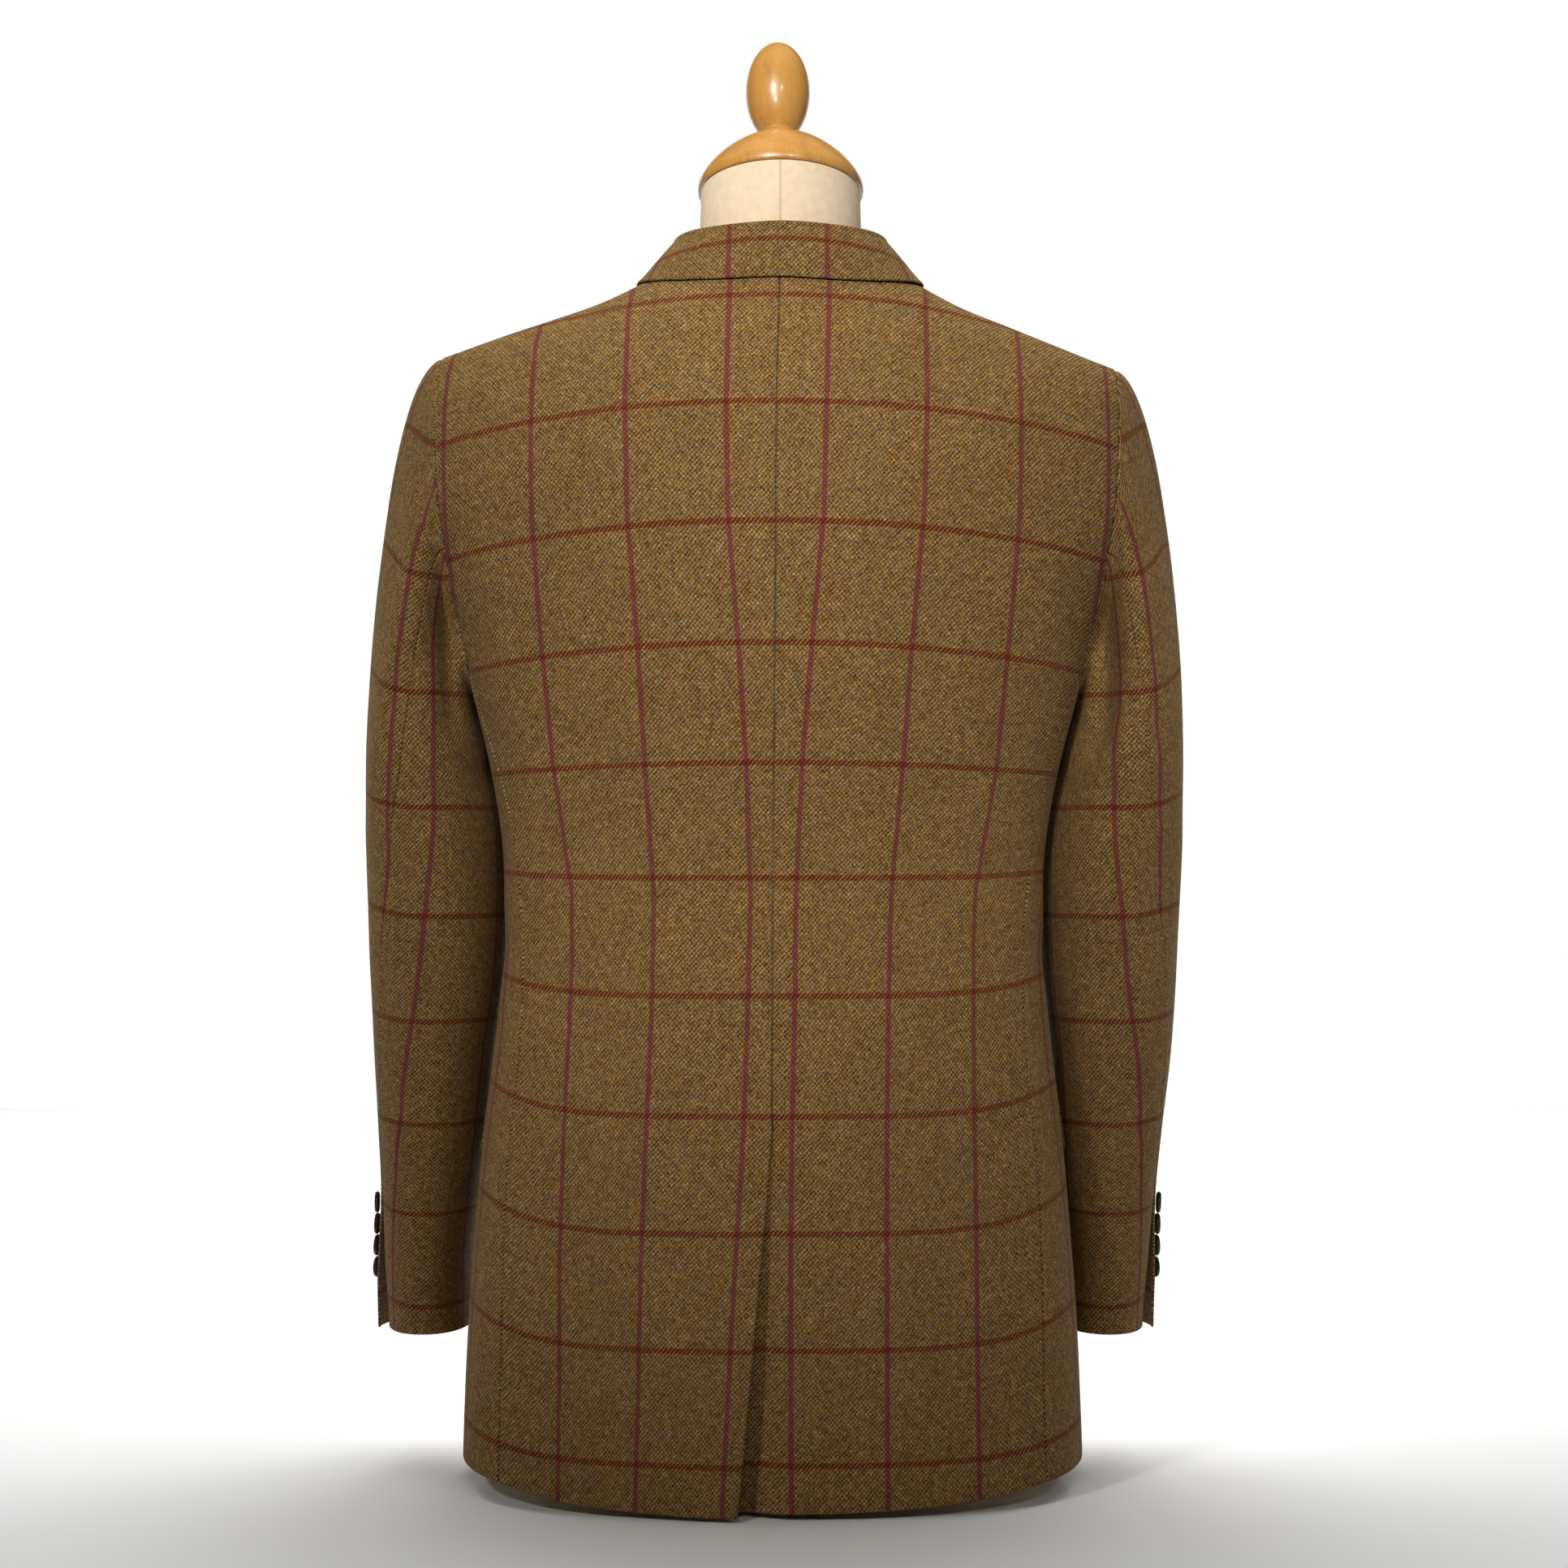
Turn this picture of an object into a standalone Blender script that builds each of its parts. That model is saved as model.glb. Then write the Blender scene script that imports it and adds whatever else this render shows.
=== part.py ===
"""A tailored single-breasted wool jacket on a limbless dress form.

Every size below is in millimetres, and points are scaled to metres as the meshes are written.
+Z is up, the front faces -Y and the wearer's left is +X. The origin is the centre of the form's
flat base. The cloth pieces are walls whose middle layer follows one torso surface and two sleeve
surfaces, worked out from the tables here.
"""

import math
from collections import namedtuple

import bmesh
import bpy
from mathutils import Vector

MM = 0.001

# Cloth
WALL = 2.0
SEAM_GAP = 0.3
LAYER = WALL + 0.4
BEHIND = 1.0
FRONT = -1.0
LEFT = 1.0
RIGHT = -1.0

# Torso outline, level by level from the hem to the shoulder blades
Ring = namedtuple("Ring", "height half_width back front")
TORSO = (
    Ring(0, 202.0, 119.0, 116.0),
    Ring(53, 200.5, 118.5, 118.0),
    Ring(139, 196.0, 116.5, 120.0),
    Ring(225, 188.5, 111.0, 120.0),
    Ring(300, 180.0, 101.0, 117.0),
    Ring(345, 176.0, 93.0, 113.5),
    Ring(385, 175.5, 89.0, 112.0),
    Ring(425, 178.0, 91.5, 113.5),
    Ring(470, 186.0, 100.0, 117.0),
    Ring(515, 197.0, 108.0, 120.0),
    Ring(560, 208.0, 114.0, 121.5),
    Ring(600, 222.0, 117.0, 122.0),
    Ring(640, 234.0, 118.0, 122.0),
)
ROUNDNESS = 2.6
BLADES = 640.0
ROLL = 160.0
RIDGE_CLIMB = BLADES + ROLL

# Height of the shoulder ridge by distance from the centre
Ridge = namedtuple("Ridge", "out height")
SHOULDER = (
    Ridge(0, 810.0),
    Ridge(35, 805.0),
    Ridge(70, 793.0),
    Ridge(116, 770.0),
    Ridge(146, 758.5),
    Ridge(181, 746.0),
    Ridge(221, 732.0),
    Ridge(260, 720.5),
)
NECK_WIDTH = 66.5
NECK_BACK = 60.0
NECK_ROUNDNESS = 2.2
SHOULDER_WIDTH = 221.0

# How the jacket sits: a slight lean of the centre line, and the left shoulder higher than the right
Lean = namedtuple("Lean", "height shift")
LEAN = (Lean(0, 0.0), Lean(300, -0.2), Lean(560, -2.1), Lean(700, -3.1), Lean(790, -5.0), Lean(960, -5.0))
SHOULDER_TILT = 0.0165
TILT_FROM = 520.0
TILT_FULL = 720.0
TILT_TOP = 800.0
TILT_FADE = 60.0

# Seams between the body panels, as a share of the half width at each height
Seam = namedtuple("Seam", "height share")
SIDE_SEAM = (
    Seam(0, 0.853), Seam(100, 0.860), Seam(200, 0.880), Seam(300, 0.887),
    Seam(385, 0.922), Seam(450, 0.948), Seam(530, 0.990),
)
FORE_SEAM = (
    Seam(0, 0.800), Seam(200, 0.815), Seam(385, 0.840), Seam(480, 0.875), Seam(545, 0.905),
)
SIDE_SEAM_TOP = 530.0
FORE_SEAM_TOP = 545.0
ARMHOLE_DIP = 31.0
ARMHOLE_SCOOP = 0.75
SIDE_TRIM = 0.0013

# Armhole edges of the back and the fronts, by climb up the panel
Edge = namedtuple("Edge", "climb out")
BACK_ARMHOLE = (
    Edge(530, 198.5), Edge(560, 204.5), Edge(600, 210.5), Edge(640, 215.5),
    Edge(670, 217.5), Edge(710, 219.0), Edge(760, 220.0), Edge(800, 221.0),
)
FRONT_ARMHOLE = (
    Edge(545, 184.6), Edge(580, 186.0), Edge(620, 189.0), Edge(660, 195.0),
    Edge(700, 203.0), Edge(745, 212.0), Edge(800, 221.0),
)

# Hem and centre vent
HEM_BACK = {LEFT: 2.8, RIGHT: 3.6}
HEM_BEND = {LEFT: 2.4, RIGHT: 2.7}
HEM_SIDE = 14.5
HEM_HIP = 5.0
HEM_FRONT = 8.0
VENT_TOP = 237.0
VENT_OPENING = 21.0
VENT_SPREAD = 1.1
VENT_SWING = 6.0
VENT_SWING_WIDTH = 70.0
UNDERLAP = 42.0
UNDERLAP_DROP = {"top": 3.6, "hem": 9.5}
UNDERLAP_RAMP = {"top": 16.0, "hem": 30.0}
UNDERLAP_REACH = 10.0
UNDERLAP_CORNER = 25.0
UNDERLAP_BLEND = 20.0
UNDERLAP_FOLLOW = 1.4

# Fronts, lapels and buttons
FRONT_OVERLAP = 16.0
OVERLAP_LIFT = 3.4
OVERLAP_FADE = 60.0
CLOSING_TOP = 620.0
CLOSING_FADE = 120.0
ROLL_START = 395.0
CUTAWAY_TOP = 330.0
CUTAWAY = 104.0
CUTAWAY_BELOW_HEM = 9.0
LAPEL_START = {LEFT: 402.0, RIGHT: 437.0}
LAPEL_STAND = 1.4
LAPEL_EDGE = (
    Edge(395, -12.0), Edge(450, 20.0), Edge(520, 56.0), Edge(600, 88.0), Edge(660, 110.0),
    Edge(700, 122.0), Edge(740, 128.0),
)
LAPEL_ROLL_LIFT = 3.0
GORGE_CLIMB = 735.0
GORGE_SLOPE = 0.5
GORGE_GAP = 1.5
NOTCH_SHARE = 0.5
NOTCH_OPENING = 30.0

# Collar
COLLAR_STAND = {"back": 27.0, "side": 19.0, "gorge": 5.0}
COLLAR_EDGE_WIDTH = 93.0
COLLAR_EDGE_BACK = 72.0
COLLAR_EDGE_ROUNDNESS = 2.4
COLLAR_TIP_OUT = 114.0
COLLAR_FOLD = 2.6
COLLAR_SEAT = 1.8
STAND_SHARE = 0.2
FOLD_SHARE = 0.5
STAND_LEAST = 0.2

# Sleeves, level by level from the biceps to the cuff
Sleeve = namedtuple("Sleeve", "height outer inner middle depth")
SLEEVE = (
    Sleeve(92, 253.0, 198.5, -65.0, 54.0),
    Sleeve(140, 255.5, 198.5, -58.0, 56.0),
    Sleeve(195, 259.0, 196.5, -49.0, 58.0),
    Sleeve(229, 261.5, 193.0, -44.0, 60.0),
    Sleeve(280, 265.0, 187.5, -35.0, 63.5),
    Sleeve(330, 267.0, 181.5, -27.0, 66.5),
    Sleeve(380, 268.0, 179.0, -20.0, 70.0),
    Sleeve(412, 268.5, 180.0, -17.0, 72.0),
    Sleeve(440, 268.5, 183.0, -15.0, 73.5),
    Sleeve(470, 268.5, 191.5, -14.0, 74.0),
)
SLEEVE_SWING = {LEFT: 7.0, RIGHT: -2.5}
SLEEVE_ROUNDNESS = 2.2
BICEPS = 470.0
CUFF = 92.0
CUFF_SWING_TOP = 330.0
HEAD_LEAD = 14.0
HEAD_LEAD_SHARE = 0.31
ARMPIT_GAP = 1.1
ARMPIT_WAY = Vector((1.0, 0.0, 0.15))
HEAD_CROWDING = 1.25
FOLD_HOLD = 5.0

# Sleeve seams: travel runs 0 to 1 down the sleeve head and 1 to 2 from the biceps to the cuff
Hind = namedtuple("Hind", "travel turn")
HIND_SEAM = (
    Hind(0.0, 95.0), Hind(1.0, 78.0), Hind(1.083, 68.0), Hind(1.23, 55.0),
    Hind(1.43, 44.0), Hind(1.684, 31.0), Hind(2.0, 24.0),
)
FORE_TURN = -62.0
CUFF_VENT_TOP = 206.0
CUFF_FLARE = 7.5
SEAM_TURN = 0.28
CUFF_SLIT_TURN = 1.6
CUFF_SLIT_BLEND = 20.0
CUFF_SLIT_RAMP = 30.0
CUFF_FLARE_TURN = 30.0

# Largest sleeve folds: a line from start to end, by turn in degrees and height
Fold = namedtuple("Fold", "sleeve turn_start height_start turn_end height_end width depth")
FOLDS = (
    Fold(LEFT, 112, 625, 122, 500, 17, -5.0),
    Fold(LEFT, 80, 600, 52, 455, 20, 3.0),
    Fold(LEFT, 70, 395, 110, 330, 22, -3.5),
    Fold(RIGHT, 108, 630, 124, 490, 19, -8.0),
    Fold(RIGHT, 84, 640, 88, 470, 18, 4.0),
    Fold(RIGHT, 60, 380, 105, 325, 22, -3.5),
)
TURN_TO_MM = 1.1

# Pocket flaps, by angle round the body from the centre back
FLAP_BACK_ANGLE = 93.0
FLAP_FRONT_ANGLE = 152.0
FLAP_TOP = 262.0
FLAP_DEPTH = 55.0
FLAP_STAND = 1.8
FLAP_CORNER = 9.0
FLAP_CORNER_START = 0.8

# Buttons
Turn = namedtuple("Turn", "radius height")
BUTTON_SHAPE = (Turn(0.0, 0.8), Turn(0.75, 1.0), Turn(1.0, 0.6), Turn(0.85, 0.0), Turn(0.0, 0.0))
BUTTON_GAP = 0.6
CUFF_BUTTON_RADIUS = 7.2
CUFF_BUTTON_HEIGHT = 3.2
CUFF_BUTTON_HEIGHTS = (177.0, 162.0, 147.0, 132.0)
CUFF_BUTTON_TURN = 11.8
FRONT_BUTTON_RADIUS = 10.0
FRONT_BUTTON_HEIGHT = 4.2
FRONT_BUTTON_HEIGHTS = (388.0, 290.0)

# Dress form: the room between its surface and the cloth's middle layer, by height
Room = namedtuple("Room", "height room arm_limit")
FORM_ROOM = (
    Room(0, 46.0, 260), Room(12, 30.0, 260), Room(35, 19.0, 260), Room(80, 15.0, 260),
    Room(200, 14.0, 260), Room(385, 8.0, 260), Room(470, 8.0, 260),
    Room(510, 10.0, 182), Room(560, 8.0, 184), Room(640, 7.0, 190), Room(700, 4.0, 194),
    Room(745, 2.6, 190), Room(772, 2.4, 190),
)
FORM_LEVELS = (
    0, 12, 35, 100, 160, 220, 275, 325, 385, 435, 480, 530, 580, 630, 670, 700, 722, 738, 750, 761, 772,
)
FORM_NECK = (
    Ring(784, 73.0, 54.0, 59.0),
    Ring(795, 58.5, 51.2, 56.0),
    Ring(806, 54.0, 50.6, 55.0),
    Ring(824, 53.0, 50.5, 54.5),
    Ring(845, 52.5, 50.5, 54.5),
)
NECK_TILT = math.radians(12.0)
NECK_TILT_RISE = 60.0
FORM_WIDE = 190.0
FORM_DEEP = 100.0
NECK_MIDDLE = -2.0

# Turned wooden cap and knob
CAP_RADIUS = 54.5
CAP_LIP = 4.5
CAP_DOME = 35.0
CAP_FULLNESS = 1.4
CAP_FLAT = 14.5
CAP_EASE = 1.0
STEM_RADIUS = 13.8
KNOB_RADIUS = 21.2
KNOB_MIDDLE = 34.0
KNOB_SHIFT = 1.9
KNOB_UPPER = 34.8
KNOB_LOWER = 34.8
KNOB_FOOT = math.radians(-56.0)

# Mesh divisions
NECK_COLUMNS = 6
BACK_COLUMNS = 12
SIDE_COLUMNS = 8
FRONT_COLUMNS = 10
BODY_ROWS = 22
VENT_SHARE = 6 / BODY_ROWS
ARM_SHARE = 12 / BODY_ROWS
BLADE_SHARE = 15 / BODY_ROWS
HEM_CROWDING = 1.4
SIDE_ROWS = 12
COLLAR_ROWS = 8
SLEEVE_ROWS = 20
HEAD_SHARE = 9 / SLEEVE_ROWS
FORM_SIDES = 36
TURNED_STEPS = 24
BUTTON_STEPS = 12
NUDGE = 0.002
PROBE = 0.3


# Small helpers

def mix(first, second, share):
    return first + (second - first) * share


def ease(share):
    share = min(max(share, 0.0), 1.0)
    return share * share * (3.0 - 2.0 * share)


def steps(share, knots):
    """Straight runs between knots of (share, value)."""
    for (begin, first), (end, second) in zip(knots, knots[1:]):
        if share <= end:
            return mix(first, second, (share - begin) / (end - begin))
    return knots[-1][1]


def hermite(start, leave, end, arrive, share):
    square = share * share
    cube = square * share
    return (start * (2 * cube - 3 * square + 1) + leave * (cube - 2 * square + share)
            + end * (3 * square - 2 * cube) + arrive * (cube - square))


def curve(rows, column, at):
    """A smooth curve through one column of a table, level at its two ends."""
    places = [row[0] for row in rows]
    values = [getattr(row, column) for row in rows]
    at = min(max(at, places[0]), places[-1])
    last = len(rows) - 1
    index = 0
    while index < last - 1 and at > places[index + 1]:
        index += 1

    def slope(row):
        if row in (0, last):
            return 0.0
        return (values[row + 1] - values[row - 1]) / (places[row + 1] - places[row - 1])

    span = places[index + 1] - places[index]
    share = (at - places[index]) / span
    return hermite(values[index], slope(index) * span, values[index + 1], slope(index + 1) * span, share)


def power(value, exponent):
    return math.copysign(abs(value) ** exponent, value)


def unit(vector):
    return vector / max(vector.length, 1e-9)


# Torso surface

def ring_depth(out, half_width, depth, roundness=ROUNDNESS):
    share = min(abs(out) / half_width, 1.0) ** roundness
    return depth * (1.0 - share) ** (1.0 / roundness)


def torso(out, climb, facing):
    """A point of the torso. Climb is the height up to the blades and then rolls over the shoulder."""
    level = min(climb, BLADES)
    half_width = curve(TORSO, "half_width", level)
    depth = curve(TORSO, "back" if facing > 0 else "front", level)
    away = ring_depth(out, half_width, depth)
    if climb <= BLADES:
        return Vector((out, facing * away, climb))
    roll = (climb - BLADES) / ROLL * math.pi / 2
    rise = curve(SHOULDER, "height", abs(out)) - BLADES
    return Vector((out, facing * away * math.cos(roll), BLADES + rise * math.sin(roll)))


def climb_for(out, away, facing):
    """The climb at which the rolled shoulder lies this far from the ridge."""
    column = "back" if facing > 0 else "front"
    full = ring_depth(out, TORSO[-1].half_width, getattr(TORSO[-1], column))
    return BLADES + ROLL * math.acos(min(away / full, 1.0)) / (math.pi / 2)


def girth(angle, height):
    """A point of a torso ring: angle 0 at the centre back, a half turn at the centre front."""
    half_width = curve(TORSO, "half_width", height)
    depth = curve(TORSO, "back" if math.cos(angle) > 0 else "front", height)
    return Vector((
        half_width * power(math.sin(angle), 2 / ROUNDNESS),
        depth * power(math.cos(angle), 2 / ROUNDNESS),
        height,
    ))


def seam_angle(rows, height):
    share = curve(rows, "share", height)
    return math.asin(share ** (ROUNDNESS / 2))


def torso_normal(out, climb, facing):
    across = torso(out + PROBE, climb, facing) - torso(out - PROBE, climb, facing)
    up = torso(out, climb + PROBE, facing) - torso(out, climb - PROBE, facing)
    return unit(across.cross(up)) * -facing


# Edges of the body panels

def back_edge(climb):
    if climb <= SIDE_SEAM_TOP:
        return curve(SIDE_SEAM, "share", climb) * curve(TORSO, "half_width", climb)
    return curve(BACK_ARMHOLE, "out", climb)


def front_edge(climb):
    if climb <= FORE_SEAM_TOP:
        return curve(FORE_SEAM, "share", climb) * curve(TORSO, "half_width", climb)
    return curve(FRONT_ARMHOLE, "out", climb)


def roll_line(climb):
    share = (climb - ROLL_START) / (RIDGE_CLIMB - ROLL_START)
    return mix(-FRONT_OVERLAP, NECK_WIDTH, share)


def opening_edge(climb):
    """The free edge of a front: the roll line, the straight closing and the rounded cutaway."""
    if climb > ROLL_START:
        return roll_line(climb)
    drop = max(CUTAWAY_TOP - climb, 0.0) / (CUTAWAY_TOP - HEM_FRONT + CUTAWAY_BELOW_HEM)
    return -FRONT_OVERLAP + CUTAWAY * (1.0 - math.sqrt(1.0 - drop * drop))


def back_top(out):
    """Climb of the back's top edge: the neckline, then the shoulder seam."""
    if out >= NECK_WIDTH:
        return RIDGE_CLIMB - 2 * SEAM_GAP
    away = ring_depth(out, NECK_WIDTH, NECK_BACK, NECK_ROUNDNESS)
    return min(climb_for(out, away, BEHIND), RIDGE_CLIMB - 2 * SEAM_GAP)


def side_top(share):
    return mix(SIDE_SEAM_TOP, FORE_SEAM_TOP, share) - ARMHOLE_DIP * math.sin(math.pi * share) ** ARMHOLE_SCOOP


def body_climb(row, hem, under_arm, top):
    """Rows that neighbouring panels share, so that their seams match."""
    if row < VENT_SHARE:
        return mix(hem, VENT_TOP, (row / VENT_SHARE) ** HEM_CROWDING)
    return steps(row, ((VENT_SHARE, VENT_TOP), (ARM_SHARE, under_arm), (BLADE_SHARE, BLADES), (1.0, top)))


# Cloth walls

def wall_normal(surface, column, row):
    across = surface(min(column + NUDGE, 1.0), row) - surface(max(column - NUDGE, 0.0), row)
    up = surface(column, min(row + NUDGE, 1.0)) - surface(column, max(row - NUDGE, 0.0))
    return unit(across.cross(up))


def cloth(name, surface, columns, rows, material):
    """A closed wall about a middle layer given by column and row shares."""
    shell = bmesh.new()
    bmesh.ops.create_grid(shell, x_segments=columns, y_segments=rows, size=0.5)
    grown = bmesh.ops.extrude_face_region(shell, geom=shell.faces[:], use_keep_orig=True)
    outside = {item for item in grown["geom"] if isinstance(item, bmesh.types.BMVert)}
    for vert in shell.verts:
        column = min(max(vert.co.x + 0.5, 0.0), 1.0)
        row = min(max(vert.co.y + 0.5, 0.0), 1.0)
        half = WALL / 2 if vert in outside else -WALL / 2
        vert.co = (surface(column, row) + wall_normal(surface, column, row) * half) * MM
    return keep_mesh(name, shell, material)


def keep_mesh(name, shell, material):
    bmesh.ops.recalc_face_normals(shell, faces=shell.faces[:])
    if shell.calc_volume(signed=True) < 0.0:
        bmesh.ops.reverse_faces(shell, faces=shell.faces[:])
    mesh = bpy.data.meshes.new(name)
    shell.to_mesh(mesh)
    shell.free()
    mesh.materials.append(material)
    mesh.shade_smooth()
    mesh.set_sharp_from_angle(angle=math.radians(50))
    piece = bpy.data.objects.new(name, mesh)
    parts.objects.link(piece)
    return piece


def settle(point):
    """Lean and tilt of everything that stands on the base."""
    rising = ease((point.z - TILT_FROM) / (TILT_FULL - TILT_FROM))
    tilt = SHOULDER_TILT * point.x * rising * ease((TILT_TOP - point.z) / TILT_FADE)
    return Vector((point.x + curve(LEAN, "shift", point.z), point.y, point.z + tilt))


def on_side(side, point):
    return settle(Vector((side * point.x, point.y, point.z)))


# Back panels

def back_column(column):
    """Columns spaced evenly round the neckline and then along the shoulder."""
    neck_share = NECK_COLUMNS / BACK_COLUMNS
    neck_corner = NECK_WIDTH / SHOULDER_WIDTH
    if column >= neck_share:
        return mix(neck_corner, 1.0, (column - neck_share) / (1.0 - neck_share))
    return neck_corner * math.sin(column / neck_share * math.pi / 2) ** (2 / NECK_ROUNDNESS)


def vent_edge(side, climb):
    """Distance of a back panel's inner edge from the centre line."""
    if side == LEFT:
        drop = max(VENT_TOP - climb, 0.0) / VENT_TOP
        return SEAM_GAP / 2 + VENT_OPENING * drop ** VENT_SPREAD
    return SEAM_GAP / 2 - UNDERLAP * ease((VENT_TOP - climb) / UNDERLAP_CORNER)


def vent_lift(side, out, climb):
    if side == LEFT:
        near_edge = ease(1.0 - (out - vent_edge(side, climb)) / VENT_SWING_WIDTH)
        return VENT_SWING * ease((VENT_TOP - climb) / VENT_TOP) * near_edge
    fall = ease((VENT_TOP - climb) / VENT_TOP)
    drop = mix(UNDERLAP_DROP["top"], UNDERLAP_DROP["hem"], fall)
    ramp = mix(UNDERLAP_RAMP["top"], UNDERLAP_RAMP["hem"], fall)
    full = UNDERLAP_REACH - UNDERLAP_FOLLOW * vent_edge(LEFT, climb)
    blend = ease((VENT_TOP + UNDERLAP_BLEND - climb) / UNDERLAP_BLEND)
    return -drop * blend * ease((full + ramp - out) / ramp)


def back_surface(side):
    def surface(column, row):
        share = back_column(column)
        hem = mix(HEM_BACK[side], HEM_SIDE, share ** HEM_BEND[side])
        climb = body_climb(row, hem, SIDE_SEAM_TOP, back_top(share * SHOULDER_WIDTH))
        out = mix(vent_edge(side, climb), back_edge(climb) - SEAM_GAP / 2, share)
        point = torso(out, climb, BEHIND)
        point.y += vent_lift(side, out, climb)
        return on_side(side, point)
    return surface


# Side bodies

def side_point(share, height):
    back_angle = seam_angle(SIDE_SEAM, height)
    fore_angle = math.pi - seam_angle(FORE_SEAM, height)
    return girth(mix(back_angle, fore_angle, share), height)


def side_surface(side):
    def surface(column, row):
        share = mix(SIDE_TRIM, 1.0 - SIDE_TRIM, column)
        hem = HEM_SIDE + HEM_HIP * math.sin(math.pi * column)
        height = body_climb(row * ARM_SHARE, hem, side_top(column), BLADES)
        return on_side(side, side_point(share, height))
    return surface


# Fronts and lapels

def front_lift(side, out, climb):
    if side == RIGHT:
        return 0.0
    closing = ease((CLOSING_TOP - climb) / CLOSING_FADE)
    return OVERLAP_LIFT * ease((OVERLAP_FADE - out) / (OVERLAP_FADE - FRONT_OVERLAP)) * closing


def front_point(side, out, climb):
    point = torso(out, climb, FRONT)
    return point + torso_normal(out, climb, FRONT) * front_lift(side, out, climb)


def front_surface(side):
    def surface(column, row):
        hem = mix(HEM_SIDE, HEM_FRONT, column)
        climb = body_climb(row, hem, FORE_SEAM_TOP, RIDGE_CLIMB - 2 * SEAM_GAP)
        out = mix(front_edge(climb) - SEAM_GAP / 2, opening_edge(climb), column)
        return on_side(side, front_point(side, out, climb))
    return surface


def gorge(out):
    """Climb of the seam between lapel and collar, dropping from the roll line outwards."""
    return GORGE_CLIMB - GORGE_SLOPE * (out - roll_line(GORGE_CLIMB))


def lapel_surface(side):
    def surface(column, row):
        top_out = mix(roll_line(GORGE_CLIMB), curve(LAPEL_EDGE, "out", GORGE_CLIMB), column)
        climb = mix(LAPEL_START[side], gorge(top_out) - GORGE_GAP, row)
        inner = roll_line(climb) + 2 * SEAM_GAP
        if side == RIGHT:
            inner = max(inner, 5 * SEAM_GAP - roll_line(climb))
        out = mix(inner, curve(LAPEL_EDGE, "out", climb), column)
        roll = LAPEL_ROLL_LIFT * (1.0 - column) ** 2 * ease(row * 3.0)
        base = front_point(side, out, climb)
        return on_side(side, base + torso_normal(out, climb, FRONT) * (LAYER + LAPEL_STAND + roll))
    return surface


# Collar

def collar_seat(around):
    """Where the collar is sewn: out and climb on the torso, and which face it is on."""
    if around <= 0.5:
        angle = around * math.pi
        out = NECK_WIDTH * math.sin(angle) ** (2 / NECK_ROUNDNESS)
        return out, back_top(min(out, NECK_WIDTH - 0.01)), BEHIND
    climb = mix(RIDGE_CLIMB, GORGE_CLIMB, (around - 0.5) * 2)
    return roll_line(climb), climb, FRONT


def collar_rim(around):
    """Where the collar's outer edge lies on the torso."""
    if around <= 0.5:
        angle = around * math.pi
        out = COLLAR_EDGE_WIDTH * math.sin(angle) ** (2 / COLLAR_EDGE_ROUNDNESS)
        away = COLLAR_EDGE_BACK * max(math.cos(angle), 0.0) ** (2 / COLLAR_EDGE_ROUNDNESS)
        return out, climb_for(out, away, BEHIND), BEHIND
    share = (around - 0.5) * 2
    tip = gorge(COLLAR_TIP_OUT) + NOTCH_OPENING
    return mix(COLLAR_EDGE_WIDTH, COLLAR_TIP_OUT, share), mix(RIDGE_CLIMB, tip, share), FRONT


def collar_stand(around):
    if around <= 0.5:
        return mix(COLLAR_STAND["back"], COLLAR_STAND["side"], ease(around * 2))
    return mix(COLLAR_STAND["side"], COLLAR_STAND["gorge"], (around - 0.5) * 2)


def collar_point(around, profile):
    """The profile climbs the stand, rounds the fold and falls to the edge."""
    seat_out, seat_climb, facing = collar_seat(around)
    rim_out, rim_climb, facing = collar_rim(around)
    seat = torso(seat_out, seat_climb, facing)
    rim = torso(rim_out, rim_climb, facing)
    front_share = max(around - 0.5, 0.0) * 2
    raised = unit(mix(Vector((0, 0, 1)), torso_normal(seat_out, seat_climb, facing), front_share))
    outward = rim - seat
    outward = unit(outward - raised * outward.dot(raised))
    stand = collar_stand(around)
    foot = seat - outward * COLLAR_SEAT + raised * mix(0.0, LAYER, front_share)
    straight = max(stand - COLLAR_FOLD, STAND_LEAST)
    if profile <= STAND_SHARE:
        return foot + raised * straight * profile / STAND_SHARE
    if profile <= FOLD_SHARE:
        turn = (profile - STAND_SHARE) / (FOLD_SHARE - STAND_SHARE) * math.pi
        middle = foot + raised * straight + outward * COLLAR_FOLD
        return middle - outward * COLLAR_FOLD * math.cos(turn) + raised * COLLAR_FOLD * math.sin(turn)
    fall = (profile - FOLD_SHARE) / (1.0 - FOLD_SHARE)
    notch = NOTCH_OPENING * max(fall - NOTCH_SHARE, 0.0) / (1.0 - NOTCH_SHARE) - NOTCH_OPENING * fall
    out = mix(seat_out, rim_out, fall)
    climb = mix(seat_climb, rim_climb, fall) + notch * ease(front_share) ** 2
    normal = torso_normal(out, climb, facing)
    lift_way = unit(mix(raised, normal, fall))
    rest = LAYER + LAPEL_STAND * front_share
    lift = rest + (straight - rest + mix(0.0, LAYER, front_share)) * (1.0 - fall) ** 1.5
    clear = outward * (2 * COLLAR_FOLD - COLLAR_SEAT) * (1.0 - fall)
    return torso(out, climb, facing) + lift_way * lift + clear


def collar_surface(column, row):
    """Column runs from the left gorge round the back neck to the right gorge."""
    around = abs(column - 0.5) * 2
    side = LEFT if column < 0.5 else RIGHT
    return on_side(side, collar_point(around, row))


# Sleeves

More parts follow.
